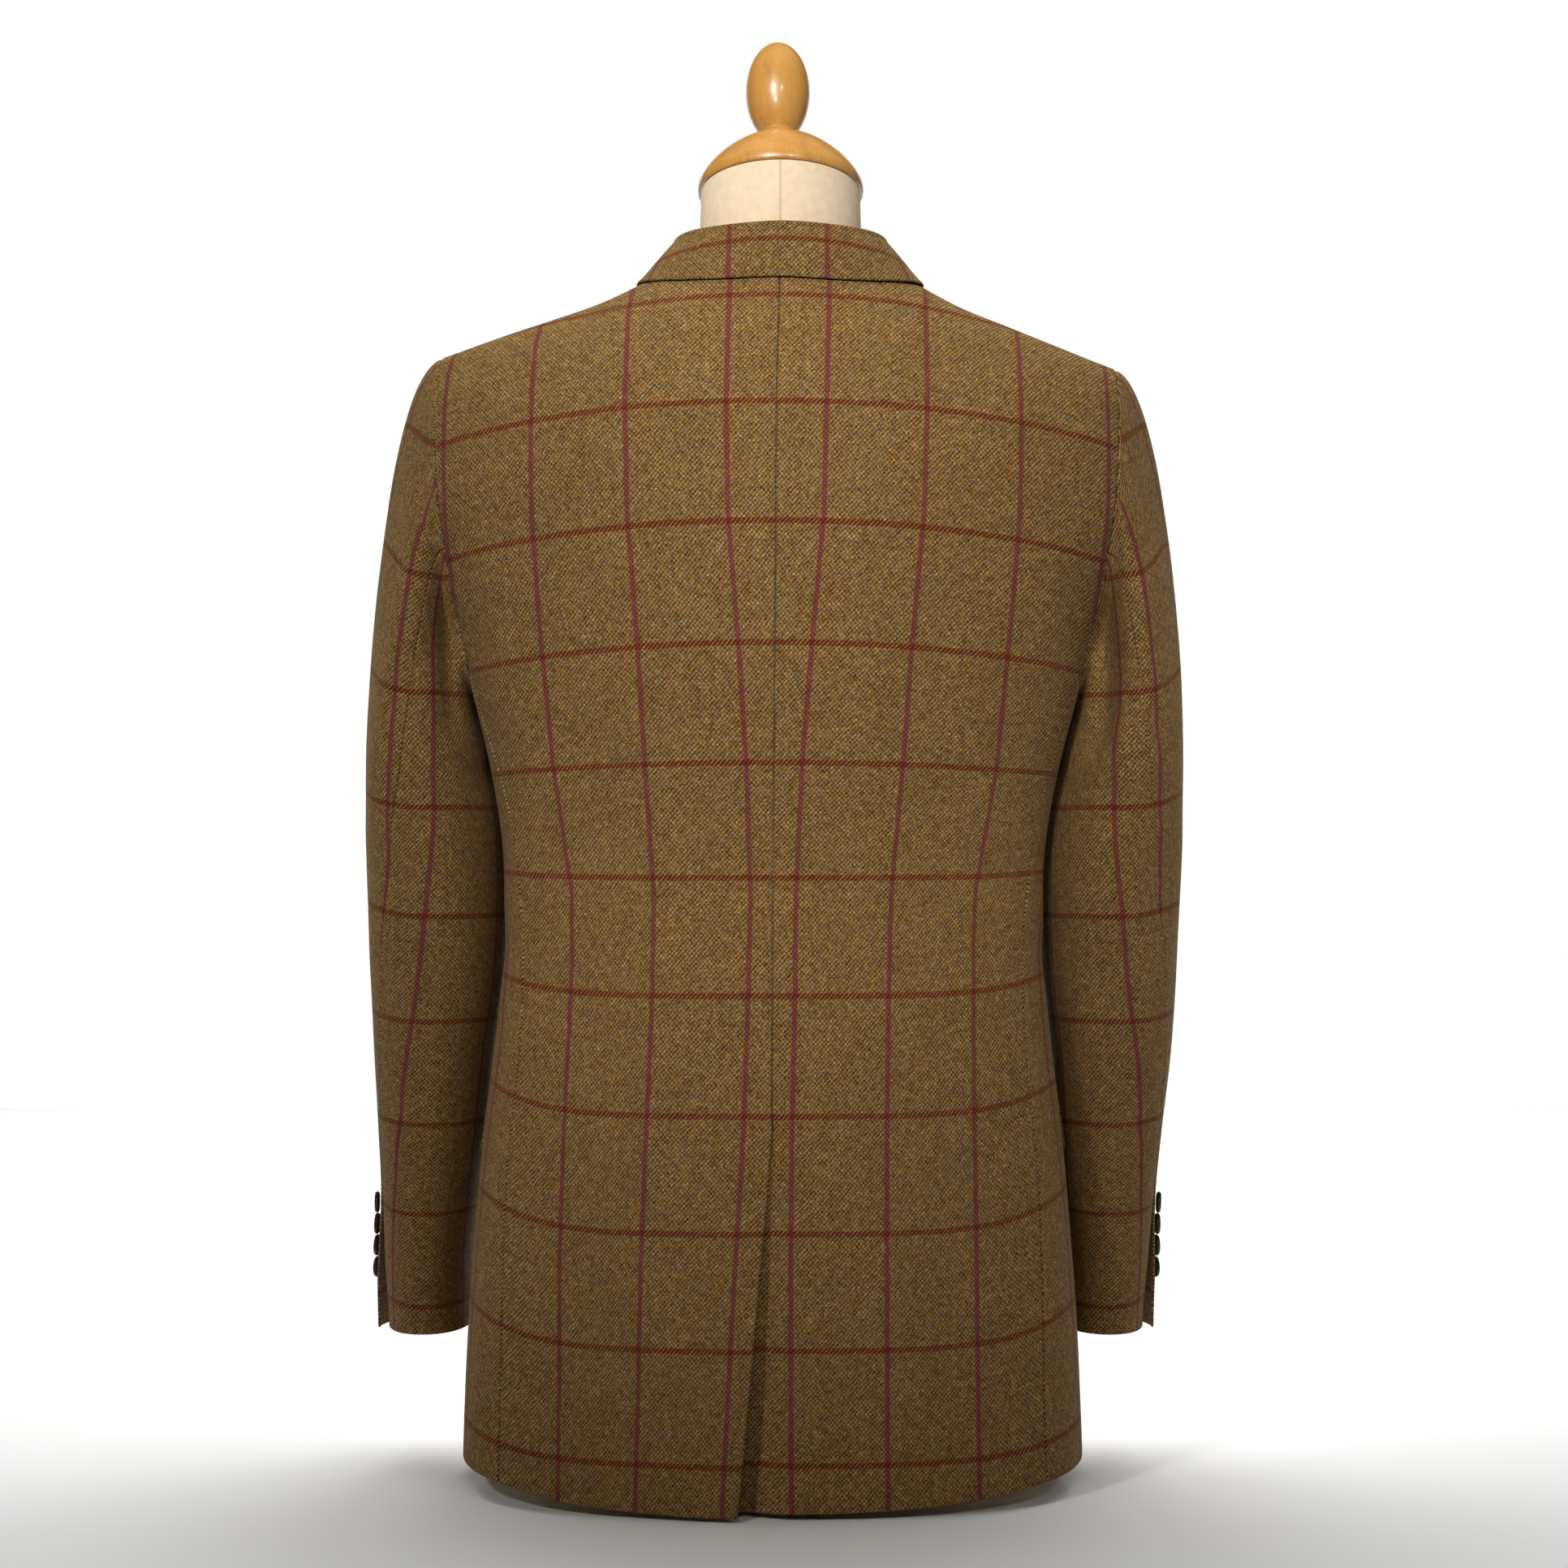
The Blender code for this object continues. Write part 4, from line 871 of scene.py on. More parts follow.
def smooth_sleeve(turn, travel):
    """The left sleeve without folds."""
    if travel >= 1.0:
        return sleeve_ring(turn, mix(BICEPS, CUFF, travel - 1.0))
    seam, way = armhole_at(turn)
    low = (1.0 - math.cos(math.radians(turn))) / 2
    lead_way = unit(mix(way, ARMPIT_WAY, low ** ARMPIT_BEND))
    lean = math.sqrt(max(1.0 - lead_way.dot(way) ** 2, 0.0))
    start = seam + way * (mix(SEAM_GAP, ARMPIT_GAP, low) + WALL / 2 * lean)
    end = sleeve_ring(turn, BICEPS)
    span = (end - start).length
    lead = lead_way * (HEAD_LEAD + HEAD_LEAD_SHARE * span)
    fall = (sleeve_ring(turn, BICEPS - 1.0) - end) * span
    return hermite(start, lead, end, fall, travel)


def fold_depth(side, turn, height):
    total = 0.0
    for fold in FOLDS:
        if fold.sleeve != side:
            continue
        run_turn = (fold.turn_end - fold.turn_start) * TURN_TO_MM
        run_height = fold.height_end - fold.height_start
        away_turn = (turn - fold.turn_start) * TURN_TO_MM
        away_height = height - fold.height_start
        along = (away_turn * run_turn + away_height * run_height) / (run_turn ** 2 + run_height ** 2)
        along = min(max(along, 0.0), 1.0)
        distance = math.hypot(away_turn - along * run_turn, away_height - along * run_height)
        total += fold.depth * math.exp(-(distance / fold.width) ** 2)
    return total


def hind_turn(travel):
    return curve(HIND_SEAM, "turn", travel)


def sleeve_point(side, turn, travel, flare=0.0):
    point = smooth_sleeve(turn, travel)
    angle = math.radians(turn)
    radial = Vector((math.cos(angle), math.sin(angle), 0.0))
    hold = ease(travel * FOLD_HOLD)
    point = point + radial * (flare + fold_depth(side, turn, point.z) * hold)
    point.x += SLEEVE_SWING[side] * ease((CUFF_SWING_TOP - point.z) / (CUFF_SWING_TOP - CUFF))
    return on_side(side, point)


def sleeve_travel(row):
    if row <= HEAD_SHARE:
        return (row / HEAD_SHARE) ** HEAD_CROWDING
    return 1.0 + (row - HEAD_SHARE) / (1.0 - HEAD_SHARE)


def sleeve_height(travel):
    return mix(BICEPS, CUFF, max(travel - 1.0, 0.0))


def cuff_flare(turn, travel):
    near_edge = ease(1.0 - (hind_turn(travel) - turn) / CUFF_FLARE_TURN)
    return CUFF_FLARE * ease((CUFF_VENT_TOP - sleeve_height(travel)) / (CUFF_VENT_TOP - CUFF)) * near_edge


def top_turn(share, travel):
    slit = CUFF_SLIT_TURN * ease((CUFF_VENT_TOP + CUFF_SLIT_BLEND - sleeve_height(travel)) / CUFF_SLIT_RAMP)
    return mix(hind_turn(travel) - SEAM_TURN - slit, FORE_TURN + SEAM_TURN, share)


def under_turn(share, travel):
    return mix(hind_turn(travel) + SEAM_TURN, 360.0 + FORE_TURN - SEAM_TURN, share)


def top_sleeve_surface(side):
    def surface(share, row):
        travel = sleeve_travel(row)
        turn = top_turn(share, travel)
        return sleeve_point(side, turn, travel, cuff_flare(turn, travel))
    return surface


def under_sleeve_surface(side):
    def surface(share, row):
        travel = sleeve_travel(row)
        return sleeve_point(side, under_turn(share, travel), travel)
    return surface


# Pocket flaps

def flap_surface(side):
    def surface(share, row):
        angle = math.radians(mix(FLAP_BACK_ANGLE, FLAP_FRONT_ANGLE, share))
        corner = max(abs(share - 0.5) * 2 - FLAP_CORNER_START, 0.0) / (1.0 - FLAP_CORNER_START)
        height = FLAP_TOP - (FLAP_DEPTH - FLAP_CORNER * corner) * row
        around = girth(angle + FLAP_PROBE, height) - girth(angle - FLAP_PROBE, height)
        normal = unit(around.cross(Vector((0, 0, 1))))
        if normal.dot(Vector((1, 0, 0))) < 0:
            normal = -normal
        point = girth(angle, height)
        lift = front_lift(side, point.x, height) if point.y < 0 else 0.0
        return on_side(side, point + normal * (LAYER + lift + FLAP_STAND * row))
    return surface


# Sheets of cloth

def shares(length):
    """Places along a length: close together near its two edges, evenly spaced between."""
    near = [step / length for step in EDGE_STEPS]
    count = max(int(round(length / GRID_STEP)), LEAST_STEPS)
    middle = [mix(near[-1], 1.0 - near[-1], step / count) for step in range(1, count)]
    return near + middle + [1.0 - step for step in reversed(near)]


def sample(surface, columns, rows):
    return np.array([[surface(column, row) for column in columns] for row in rows])


def run_lengths(points, axis, flat=False):
    """Distance along the grid from its first column or row."""
    moves = np.diff(points, axis=axis)
    if flat:
        moves = moves[..., :2]
    lengths = np.cumsum(np.linalg.norm(moves, axis=2), axis=axis)
    pad = [(0, 0), (0, 0)]
    pad[axis] = (1, 0)
    return np.pad(lengths, pad)


def unit_each(vectors):
    return vectors / np.maximum(np.linalg.norm(vectors, axis=2, keepdims=True), TINY)


def grid_normals(points):
    return unit_each(np.cross(np.gradient(points, axis=1), np.gradient(points, axis=0)))


def crease_relief(piece, places):
    """Soft troughs and ridges along the creases drawn on a piece."""
    relief = np.zeros(places.shape[:2])
    for crease in CREASES[piece]:
        start, bend, end = (np.array(place, float) for place in crease[:3])
        nearest = np.full(relief.shape, FAR)
        along = np.zeros(relief.shape)
        side = np.zeros(relief.shape)
        for step in range(CREASE_STEPS + 1):
            share = step / CREASE_STEPS
            place = start * (1 - share) ** 2 + bend * 2 * share * (1 - share) + end * share ** 2
            heading = (bend - start) * (1 - share) + (end - bend) * share
            away = places - place
            distance = np.hypot(away[..., 0], away[..., 1])
            closer = distance < nearest
            nearest = np.where(closer, distance, nearest)
            along = np.where(closer, share, along)
            side = np.where(closer, np.sign(away[..., 0] * heading[1] - away[..., 1] * heading[0]), side)
        taper = np.sin(np.pi * (CREASE_TIP + (1.0 - 2 * CREASE_TIP) * along)) ** CREASE_FULLNESS
        trough = np.exp(-(nearest / crease.width) ** 2)
        beside = nearest * side / crease.width - CREASE_SHOULDER_OUT
        shoulder = CREASE_SHOULDER * np.exp(-beside ** 2)
        relief += crease.depth * taper * (trough - shoulder)
    return relief


def unevenness(points, scale):
    values = [[noise.noise(Vector(point) / scale) for point in row] for row in points]
    return np.array(values) * UNEVEN


def rim_profile(points, rims):
    """Thickness share near the edges, and how far sewn edges sink.

    The rims are those of the first and last column, then of the first and last row.
    """
    across = run_lengths(points, 1)
    along = run_lengths(points, 0)
    distances = (across, across[:, -1:] - across, along, along[-1:, :] - along)
    thick = np.ones(across.shape)
    sink = np.zeros(across.shape)
    for rim, distance in zip(rims, distances):
        inside = 1.0 - np.minimum(distance / rim.width, 1.0)
        rounded = np.sqrt(1.0 - inside ** 2)
        thick = np.minimum(thick, RIM_LEAST + (1.0 - RIM_LEAST) * rounded)
        sink = np.maximum(sink, rim.sink * (1.0 - rounded))
    return thick, sink


def cloth_sheet(name, points, outward, relief, grain, rims):
    """A thin wall on a grid of points, with the grain map in metres."""
    rows, columns = points.shape[:2]
    layer = rows * columns
    normals = grid_normals(points)
    turned_out = np.sum(normals * outward) > 0
    if not turned_out:
        normals = -normals
    thick, sink = rim_profile(points, rims)
    half = WALL / 2 * thick
    hold = np.minimum(1.0, RIM_HOLD + (1.0 - RIM_HOLD) * thick)
    outer = points + normals * (half + relief * hold - sink)[..., None]
    inner = points + normals * (-half + relief * hold - sink * INNER_SINK)[..., None]
    verts = np.concatenate([outer.reshape(-1, 3), inner.reshape(-1, 3)]) * MM
    index = np.arange(layer).reshape(rows, columns)
    quads = np.stack([index[:-1, :-1], index[:-1, 1:], index[1:, 1:], index[1:, :-1]], axis=2)
    quads = quads.reshape(-1, 4)
    border = np.concatenate([index[0, :], index[1:, -1], index[-1, -2::-1], index[-2:0:-1, 0]])
    following = np.roll(border, -1)
    rim_quads = np.stack([following, border, border + layer, following + layer], axis=1)
    if not turned_out:
        quads = quads[:, ::-1]
        rim_quads = rim_quads[:, ::-1]
    faces = np.concatenate([quads, quads[:, ::-1] + layer, rim_quads])
    mesh = bpy.data.meshes.new(name)
    mesh.from_pydata(verts.tolist(), [], faces.tolist())
    grain_map = mesh.uv_layers.new(name="grain")
    corners = np.zeros(len(mesh.loops), np.int32)
    mesh.loops.foreach_get("vertex_index", corners)
    flat_grain = np.concatenate([grain.reshape(-1, 2)] * 2) * MM
    grain_map.data.foreach_set("uv", flat_grain[corners].astype(np.float32).ravel())
    mesh.shade_smooth()
    piece = bpy.data.objects.new(name, mesh)
    bpy.context.scene.collection.objects.link(piece)
    return piece


def cut_size(points):
    """Width, length and area of the flat cut, in metres."""
    width = run_lengths(points, 1)[:, -1].max() * MM
    length = run_lengths(points, 0)[-1, :].max() * MM
    near, far = points[1:, :-1], points[:-1, 1:]
    area = 0.0
    for corner in (points[:-1, :-1], points[1:, 1:]):
        area += 0.5 * np.linalg.norm(np.cross(near - corner, far - corner), axis=2).sum()
    return round(float(width), 3), round(float(length), 3), float(area) * MM * MM


def hang(piece, node, points):
    width, length, area = cut_size(points)
    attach(piece, "root")
    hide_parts(node)
    piece.data.materials.append(wool)


# Grain of each piece: across to the viewer's right and along upwards, lines at whole repeats

def line_number(lines, height):
    """Number of the cross line at a height, with parts between lines."""
    lines = np.array(lines)
    numbers = np.interp(height, lines, np.arange(len(lines)))
    numbers = np.where(height < lines[0], (height - lines[0]) / CHECK_ALONG, numbers)
    return np.where(height > lines[-1], len(lines) - 1 + (height - lines[-1]) / CHECK_ALONG, numbers)


def table_values(rows, column, at):
    return np.interp(at, [row[0] for row in rows], [getattr(row, column) for row in rows])


def body_along(points):
    height = points[..., 2]
    out = np.abs(points[..., 0])
    drop = table_values(SAG, "drop", height) * (out / SAG_WIDTH) ** 2
    rise = table_values(SAG, "rise", height) * np.minimum(out / RISE_WIDTH, RISE_LIMIT) ** RISE_BEND
    return line_number(BODY_LINES, height + drop - rise) * CHECK_ALONG


def back_grain(side, points):
    """Lines drawn in between the four places given for each height, and evenly beyond them."""
    height = points[..., 2]
    lean = np.array([curve(LEAN, "shift", level) for level in height[:, 0]])
    out = side * (points[..., 0] - lean[:, None])
    lines = [table_values(DOWN_LINES[side], column, height) for column in Down._fields[1:]]
    number = (out - lines[0]) / CHECK_ACROSS
    for count, (near, far) in enumerate(zip(lines, lines[1:])):
        number = np.where(out > near, count + (out - near) / (far - near), number)
    return np.stack([-side * number * CHECK_ACROSS, body_along(points)], axis=2)


def side_grain(side, points):
    across = run_lengths(points, 1, flat=True)
    first = table_values(SIDE_LINE, "across", points[..., 2])
    return np.stack([-side * (across - first), body_along(points)], axis=2)


def front_grain(side, points):
    across = side * points[..., 0] - FRONT_LINE
    return np.stack([side * across, line_number(BODY_LINES, points[..., 2]) * CHECK_ALONG], axis=2)


def lapel_grain(side, places):
    out, climb = places[..., 0], places[..., 1]
    across = table_values(LAPEL_EDGE, "out", climb) - out - LAPEL_LINE
    along = line_number(BODY_LINES, climb) * CHECK_ALONG + LAPEL_CROSS_LINE
    return np.stack([-side * across, along], axis=2)


def collar_grain(points):
    """Lines down from the fold, and one line across that lies lower towards the shoulders."""
    across = run_lengths(points, 1)
    middle = across[:, across.shape[1] // 2][:, None]
    along = run_lengths(points, 0)
    fold = along[int(along.shape[0] * COLLAR_FOLD_ROW)][None, :]
    from_middle = across - middle
    sag = COLLAR_SAG * np.minimum(np.abs(from_middle) / COLLAR_SAG_WIDTH, COLLAR_SAG_LIMIT) ** 2
    lower = COLLAR_CROSS_LINE + sag
    return np.stack([from_middle / COLLAR_STRETCH + COLLAR_LINE, fold - along + lower], axis=2)


def line_place(turn, turns, across):
    """Distance along a row at which a turn is met, also past the row's two ends."""
    order = np.argsort(turns)
    turns, across = turns[order], across[order]
    if turn < turns[0]:
        return across[0] + (turn - turns[0]) * (across[1] - across[0]) / (turns[1] - turns[0])
    if turn > turns[-1]:
        return across[-1] + (turn - turns[-1]) * (across[-1] - across[-2]) / (turns[-1] - turns[-2])
    return np.interp(turn, turns, across)


def level_lengths(points, start_column):
    """Distance around a sleeve from one column, measured along level cuts through it."""
    heights = points[..., 2]
    levels = np.arange(heights.min(), heights.max(), LEVEL_STEP)
    cuts = np.full((len(levels), points.shape[1], 2), np.nan)
    for column in range(points.shape[1]):
        climb = points[np.argmax(heights[:, column]):, column][::-1]
        rising = np.maximum.accumulate(climb[:, 2])
        for axis in (0, 1):
            cuts[:, column, axis] = np.interp(levels, rising, climb[:, axis], right=np.nan)
    steps = np.linalg.norm(np.diff(cuts, axis=1), axis=2)
    for level in range(1, len(levels)):
        steps[level] = np.where(np.isnan(steps[level]), steps[level - 1], steps[level])
    steps = np.nan_to_num(steps)
    run = np.concatenate([np.zeros((len(levels), 1)), np.cumsum(steps, axis=1)], axis=1)
    run -= run[:, start_column][:, None]
    lengths = [np.interp(heights[:, column], levels, run[:, column]) for column in range(points.shape[1])]
    return np.stack(lengths, axis=1)


def turn_into_seam(points, grain):
    """Carry the weave on over the last of a sleeve's cloth, where it turns in to the armhole seam."""
    normal = grid_normals(points)
    level = unit_each(np.stack([-normal[..., 1], normal[..., 0], np.zeros(normal.shape[:2])], axis=2))
    level *= np.sign((level * np.gradient(points, axis=1)).sum())
    upward = np.cross(level, normal)
    upward *= np.where(upward[..., 2:] < 0.0, -1.0, 1.0)
    climbing = run_lengths(points, 0)
    steps = points[:-1] - points[1:]
    carried = grain.copy()
    for row in range(len(points) - 2, -1, -1):
        moved = np.stack([(steps[row] * way[row]).sum(axis=1) for way in (level, upward)], axis=1)
        turned = (climbing[row] < SEAM_REACH)[:, None]
        carried[row] = np.where(turned, carried[row + 1] + moved, grain[row])
    share = np.clip((HEAD_ROLL - points[0, :, 2]) / SEAM_REACH, 0.0, 1.0)[None, :, None]
    return grain + (carried - grain) * share


def sleeve_grain(side, points, turns, travels, lines, way):
    """Way is -1 where the columns run against the turn."""
    height = points[..., 2]
    around = level_lengths(points, int(np.argmin(np.abs(turns[0]))))
    line_turns = table_values(lines, "turn", travels)
    line_rows = []
    for turn, row_turns, row_around, row_height in zip(line_turns, turns, around, height):
        line_rows.append((line_place(turn, row_turns, row_around), line_place(turn, row_turns, row_height)))
    line_around, line_height = np.array(line_rows)[::-1].T
    at_line = np.interp(height, np.maximum.accumulate(line_height), line_around)
    outer = np.clip((OUTER_TURN - turns) / OUTER_TURN, 0.0, 1.0)
    outer = outer * outer * (3.0 - 2.0 * outer)
    drop = table_values(SLEEVE_SAG, "drop", height) * outer
    along = line_number(SLEEVE_LINES, height - drop) * CHECK_ALONG
    climbing = run_lengths(points, 0)
    rolled = np.argmax(height < HEAD_ROLL, axis=0)
    every = np.arange(points.shape[1])
    over = along[rolled, every] + climbing[rolled, every] - climbing
    along = np.where(np.arange(len(points))[:, None] < rolled, over, along)
    grain = turn_into_seam(points, np.stack([around - at_line, along], axis=2))
    return grain * [side * way, 1.0]


def flap_grain(side, points):
    across = run_lengths(points, 1, flat=True) - FLAP_LINE
    return np.stack([-side * across, line_number(BODY_LINES, points[..., 2]) * CHECK_ALONG], axis=2)


# Materials

def make_material(name):
    material = bpy.data.materials.new(name)
    material.use_nodes = True
    tree = material.node_tree
    return material, tree, tree.nodes["Principled BSDF"]


def add_node(tree, kind, links=None, **settings):
    """A node with its settings, and with inputs given by name or number as sockets or plain values."""
    made = tree.nodes.new(kind)
    for word, value in settings.items():
        setattr(made, word, value)
    for key, value in (links or {}).items():
        if isinstance(value, bpy.types.NodeSocket):
            tree.links.new(value, made.inputs[key])
        else:
            made.inputs[key].default_value = value
    return made


def set_finish(tree, shader, colour, amounts, height=None, strength=0.0):
    """Colour, the even amounts on the shader's own sockets, and any fine relief."""
    tree.links.new(colour, shader.inputs["Base Color"])
    for word, amount in amounts.items():
        shader.inputs[word].default_value = amount
    if height is not None:
        links = {"Height": height, "Strength": strength, "Distance": RELIEF}
        tree.links.new(add_node(tree, "ShaderNodeBump", links).outputs[0], shader.inputs["Normal"])


def object_place(tree, stretch=None):
    """Place on the piece, stretched along its axes if asked."""
    place = add_node(tree, "ShaderNodeTexCoord").outputs["Object"]
    if stretch:
        place = add_node(tree, "ShaderNodeMapping", {0: place, "Scale": stretch}).outputs[0]
    return place


def maths(tree, operation, first, second=0.0, third=0.0):
    links = {0: first, 1: second}
    if operation == "MULTIPLY_ADD":
        links[2] = third
    return add_node(tree, "ShaderNodeMath", links, operation=operation).outputs[0]


def ramp(tree, value, stops):
    made = add_node(tree, "ShaderNodeValToRGB", {0: value})
    elements = made.color_ramp.elements
    while len(elements) < len(stops):
        elements.new(0.5)
    for element, (place, colour) in zip(elements, stops):
        element.position = place
        element.color = (*colour, 1.0)
    return made.outputs[0]


def blend(tree, kind, share, first, second):
    links = {0: share, 6: first, 7: second}
    return add_node(tree, "ShaderNodeMix", links, data_type="RGBA", blend_type=kind).outputs[2]


def grey(tree, value):
    return add_node(tree, "ShaderNodeCombineColor", {0: value, 1: value, 2: value}).outputs[0]


def spread(tree, value, low, high, to_low, to_high):
    links = {0: value, 1: low, 2: high, 3: to_low, 4: to_high}
    return add_node(tree, "ShaderNodeMapRange", links, interpolation_type="SMOOTHSTEP").outputs[0]


def speckle(tree, place, scale, detail=2.0):
    links = {"Vector": place, "Scale": scale, "Detail": detail}
    return add_node(tree, "ShaderNodeTexNoise", links).outputs[0]


# Colours, and the sizes in metres of what the materials draw. Four numbers are a range and what it becomes.
RELIEF = 0.0003
TWILL_ANGLE = math.radians(49.0)
TWILL_STEP = 0.0021
YARN_WIDTH = 0.0011
LINE_ACROSS = CHECK_ACROSS * MM
LINE_ALONG = CHECK_ALONG * MM
LINE_WAVER = 0.0008
DOWN_LINE_EDGE = (0.0011, 0.0021)
OVER_LINE_EDGE = (0.0014, 0.0023)
WANDER_SCALE = 170.0
WANDER = 0.5
MOTTLE_SCALE = 210.0
MOTTLE_SHADES = (0.3, 0.7, -0.12, 0.12)
HAIR_SCALE = 1500.0
HAIR_SHADES = (0.25, 0.75, 0.5, 1.5)
CLOUD_SCALE = 30.0
CLOUD_SHADES = (0.3, 0.7, 0.95, 1.05)
RIB_SHARE = 0.62
COUNTER_SHARE = 0.42
GOLD_BY_DOT = (0.2, 0.95, 0.05, 0.85)
GOLD_PLAY = 0.4
DOWN_LINE_FULL = 0.95
DOWN_LINE_BREAK = 0.3
OVER_LINE_FULL = 1.0
OVER_LINE_BREAK = (0.35, 0.85, 1.0, 0.3)
GOLDS = (
    (0.00, (0.320, 0.136, 0.016)),
    (0.30, (0.436, 0.228, 0.031)),
    (0.55, (0.524, 0.306, 0.055)),
    (0.75, (0.417, 0.271, 0.088)),
    (0.90, (0.630, 0.429, 0.153)),
    (1.00, (0.456, 0.149, 0.033)),
)
TAUPES = (
    (0.00, (0.033, 0.016, 0.005)),
    (0.30, (0.082, 0.047, 0.015)),
    (0.55, (0.092, 0.068, 0.033)),
    (0.78, (0.121, 0.102, 0.091)),
    (1.00, (0.073, 0.031, 0.012)),
)
PLUM = (0.170, 0.023, 0.038, 1.0)
RED = (0.120, 0.009, 0.004, 1.0)
WOOL_TONE = 0.71
WOOL_FINISH = {"Roughness": 0.9, "Specular IOR Level": 0.15, "Sheen Weight": 0.06, "Sheen Roughness": 0.5,
               "Sheen Tint": (1.0, 0.82, 0.55, 1.0)}
WOOL_RELIEF = 0.25
LINENS = (
    (0.30, (0.78, 0.61, 0.41)),
    (0.55, (0.84, 0.69, 0.49)),
    (0.75, (0.89, 0.76, 0.57)),
)
LINEN_THREAD_SCALE = 520.0
LINEN_THREAD_WAY = (1.0, 1.0, 6.0)
LINEN_SLUB_SCALE = 160.0
LINEN_SLUB_SHARE = 0.6
LINEN_SEAM = (0.42, 0.28, 0.15, 1.0)
LINEN_SEAM_PLACE = 0.005
LINEN_SEAM_DARKNESS = (0.0002, 0.0014, 0.4, 0.0)
LINEN_SEAM_DEPTH = 3.0
LINEN_FINISH = {"Roughness": 0.85, "Specular IOR Level": 0.25}
LINEN_RELIEF = 0.12
BEECHES = (
    (0.28, (0.40, 0.170, 0.034)),
    (0.44, (0.53, 0.255, 0.055)),
    (0.66, (0.62, 0.325, 0.082)),
)
BEECH_WAY = (1.0, 1.0, 0.12)
BEECH_BROAD_SCALE = 70.0
BEECH_FINE_SCALE = 620.0
BEECH_FINE_SHARE = 0.35
BEECH_FINISH = {"Roughness": 0.4, "Coat Weight": 0.6, "Coat Roughness": 0.18}
HORNS = (
    (0.35, (0.010, 0.006, 0.004)),
    (0.58, (0.040, 0.020, 0.010)),
    (0.78, (0.140, 0.075, 0.032)),
)
HORN_WAY = (1.0, 2.4, 0.5)
HORN_SCALE = 190.0
HORN_FINISH = {"Roughness": 0.32}
FLOOR_SCALE = 3.0
FLOOR_FINISH = {"Roughness": 0.8}
FLOORS = (
    (0.3, (0.90, 0.90, 0.89)),
    (0.7, (0.93, 0.93, 0.925)),
)


def slanted(tree, across, along, way, wander):
    """A wave from 0 to 1 whose crests climb to one side, way 1, or to the other, way -1."""
    place = maths(tree, "MULTIPLY_ADD", along, math.cos(TWILL_ANGLE) / TWILL_STEP, wander)
    place = maths(tree, "MULTIPLY_ADD", across, -way * math.sin(TWILL_ANGLE) / TWILL_STEP, place)
    wave = maths(tree, "SINE", maths(tree, "MULTIPLY", place, 2 * math.pi))
    return maths(tree, "MULTIPLY_ADD", wave, 0.5, 0.5)


def check_line(tree, along, wander, repeat, edge, full):
    """1 on a line of the check and 0 between the lines."""
    wavering = maths(tree, "MULTIPLY_ADD", wander, LINE_WAVER, along)
    return spread(tree, maths(tree, "PINGPONG", wavering, repeat / 2), *edge, full, 0.0)


def wool_material():
    """Twill tweed: rows of gold yarn dots on taupe, with plum lines down it and broken red lines across."""
    material, tree, shader = make_material("checked_wool_tweed")
    grain = add_node(tree, "ShaderNodeUVMap", uv_map="grain").outputs[0]
    split = add_node(tree, "ShaderNodeSeparateXYZ", {0: grain})
    across, along = split.outputs[0], split.outputs[1]
    wander = maths(tree, "MULTIPLY_ADD", speckle(tree, grain, WANDER_SCALE), WANDER, -WANDER / 2)
    rib = slanted(tree, across, along, 1.0, wander)
    counter = slanted(tree, across, along, -1.0, wander)
    cells = {"Vector": grain, "Scale": 1.0 / YARN_WIDTH}
    yarns = add_node(tree, "ShaderNodeTexVoronoi", cells, voronoi_dimensions="2D")
    yarns = add_node(tree, "ShaderNodeSeparateColor", {0: yarns.outputs["Color"]}).outputs
    dots = maths(tree, "MULTIPLY_ADD", rib, RIB_SHARE, maths(tree, "MULTIPLY", counter, COUNTER_SHARE))
    mottle = spread(tree, speckle(tree, grain, MOTTLE_SCALE), *MOTTLE_SHADES)
    gold_share = maths(tree, "ADD", spread(tree, dots, *GOLD_BY_DOT), mottle)
    gold_share = maths(tree, "SUBTRACT", gold_share, GOLD_PLAY / 2)
    gold_share = maths(tree, "MULTIPLY_ADD", yarns[2], GOLD_PLAY, gold_share)
    gold_share = add_node(tree, "ShaderNodeClamp", {0: gold_share}).outputs[0]
    taupe = ramp(tree, yarns[1], TAUPES)
    colour = blend(tree, "MIX", gold_share, taupe, ramp(tree, yarns[0], GOLDS))
    hairs = spread(tree, speckle(tree, grain, HAIR_SCALE, 1.0), *HAIR_SHADES)
    cloudy = spread(tree, speckle(tree, grain, CLOUD_SCALE), *CLOUD_SHADES)
    shade = maths(tree, "MULTIPLY", maths(tree, "MULTIPLY", hairs, WOOL_TONE), cloudy)
    down = check_line(tree, across, wander, LINE_ACROSS, DOWN_LINE_EDGE, DOWN_LINE_FULL)
    down = maths(tree, "MULTIPLY", down, maths(tree, "MULTIPLY_ADD", counter, -DOWN_LINE_BREAK, 1.0))
    over = check_line(tree, along, wander, LINE_ALONG, OVER_LINE_EDGE, OVER_LINE_FULL)
    over = maths(tree, "MULTIPLY", over, spread(tree, rib, *OVER_LINE_BREAK))
    colour = blend(tree, "MIX", down, colour, PLUM)
    colour = blend(tree, "MIX", over, colour, RED)
    colour = blend(tree, "MULTIPLY", 1.0, colour, grey(tree, shade))
    set_finish(tree, shader, colour, WOOL_FINISH, dots, WOOL_RELIEF)
    return material


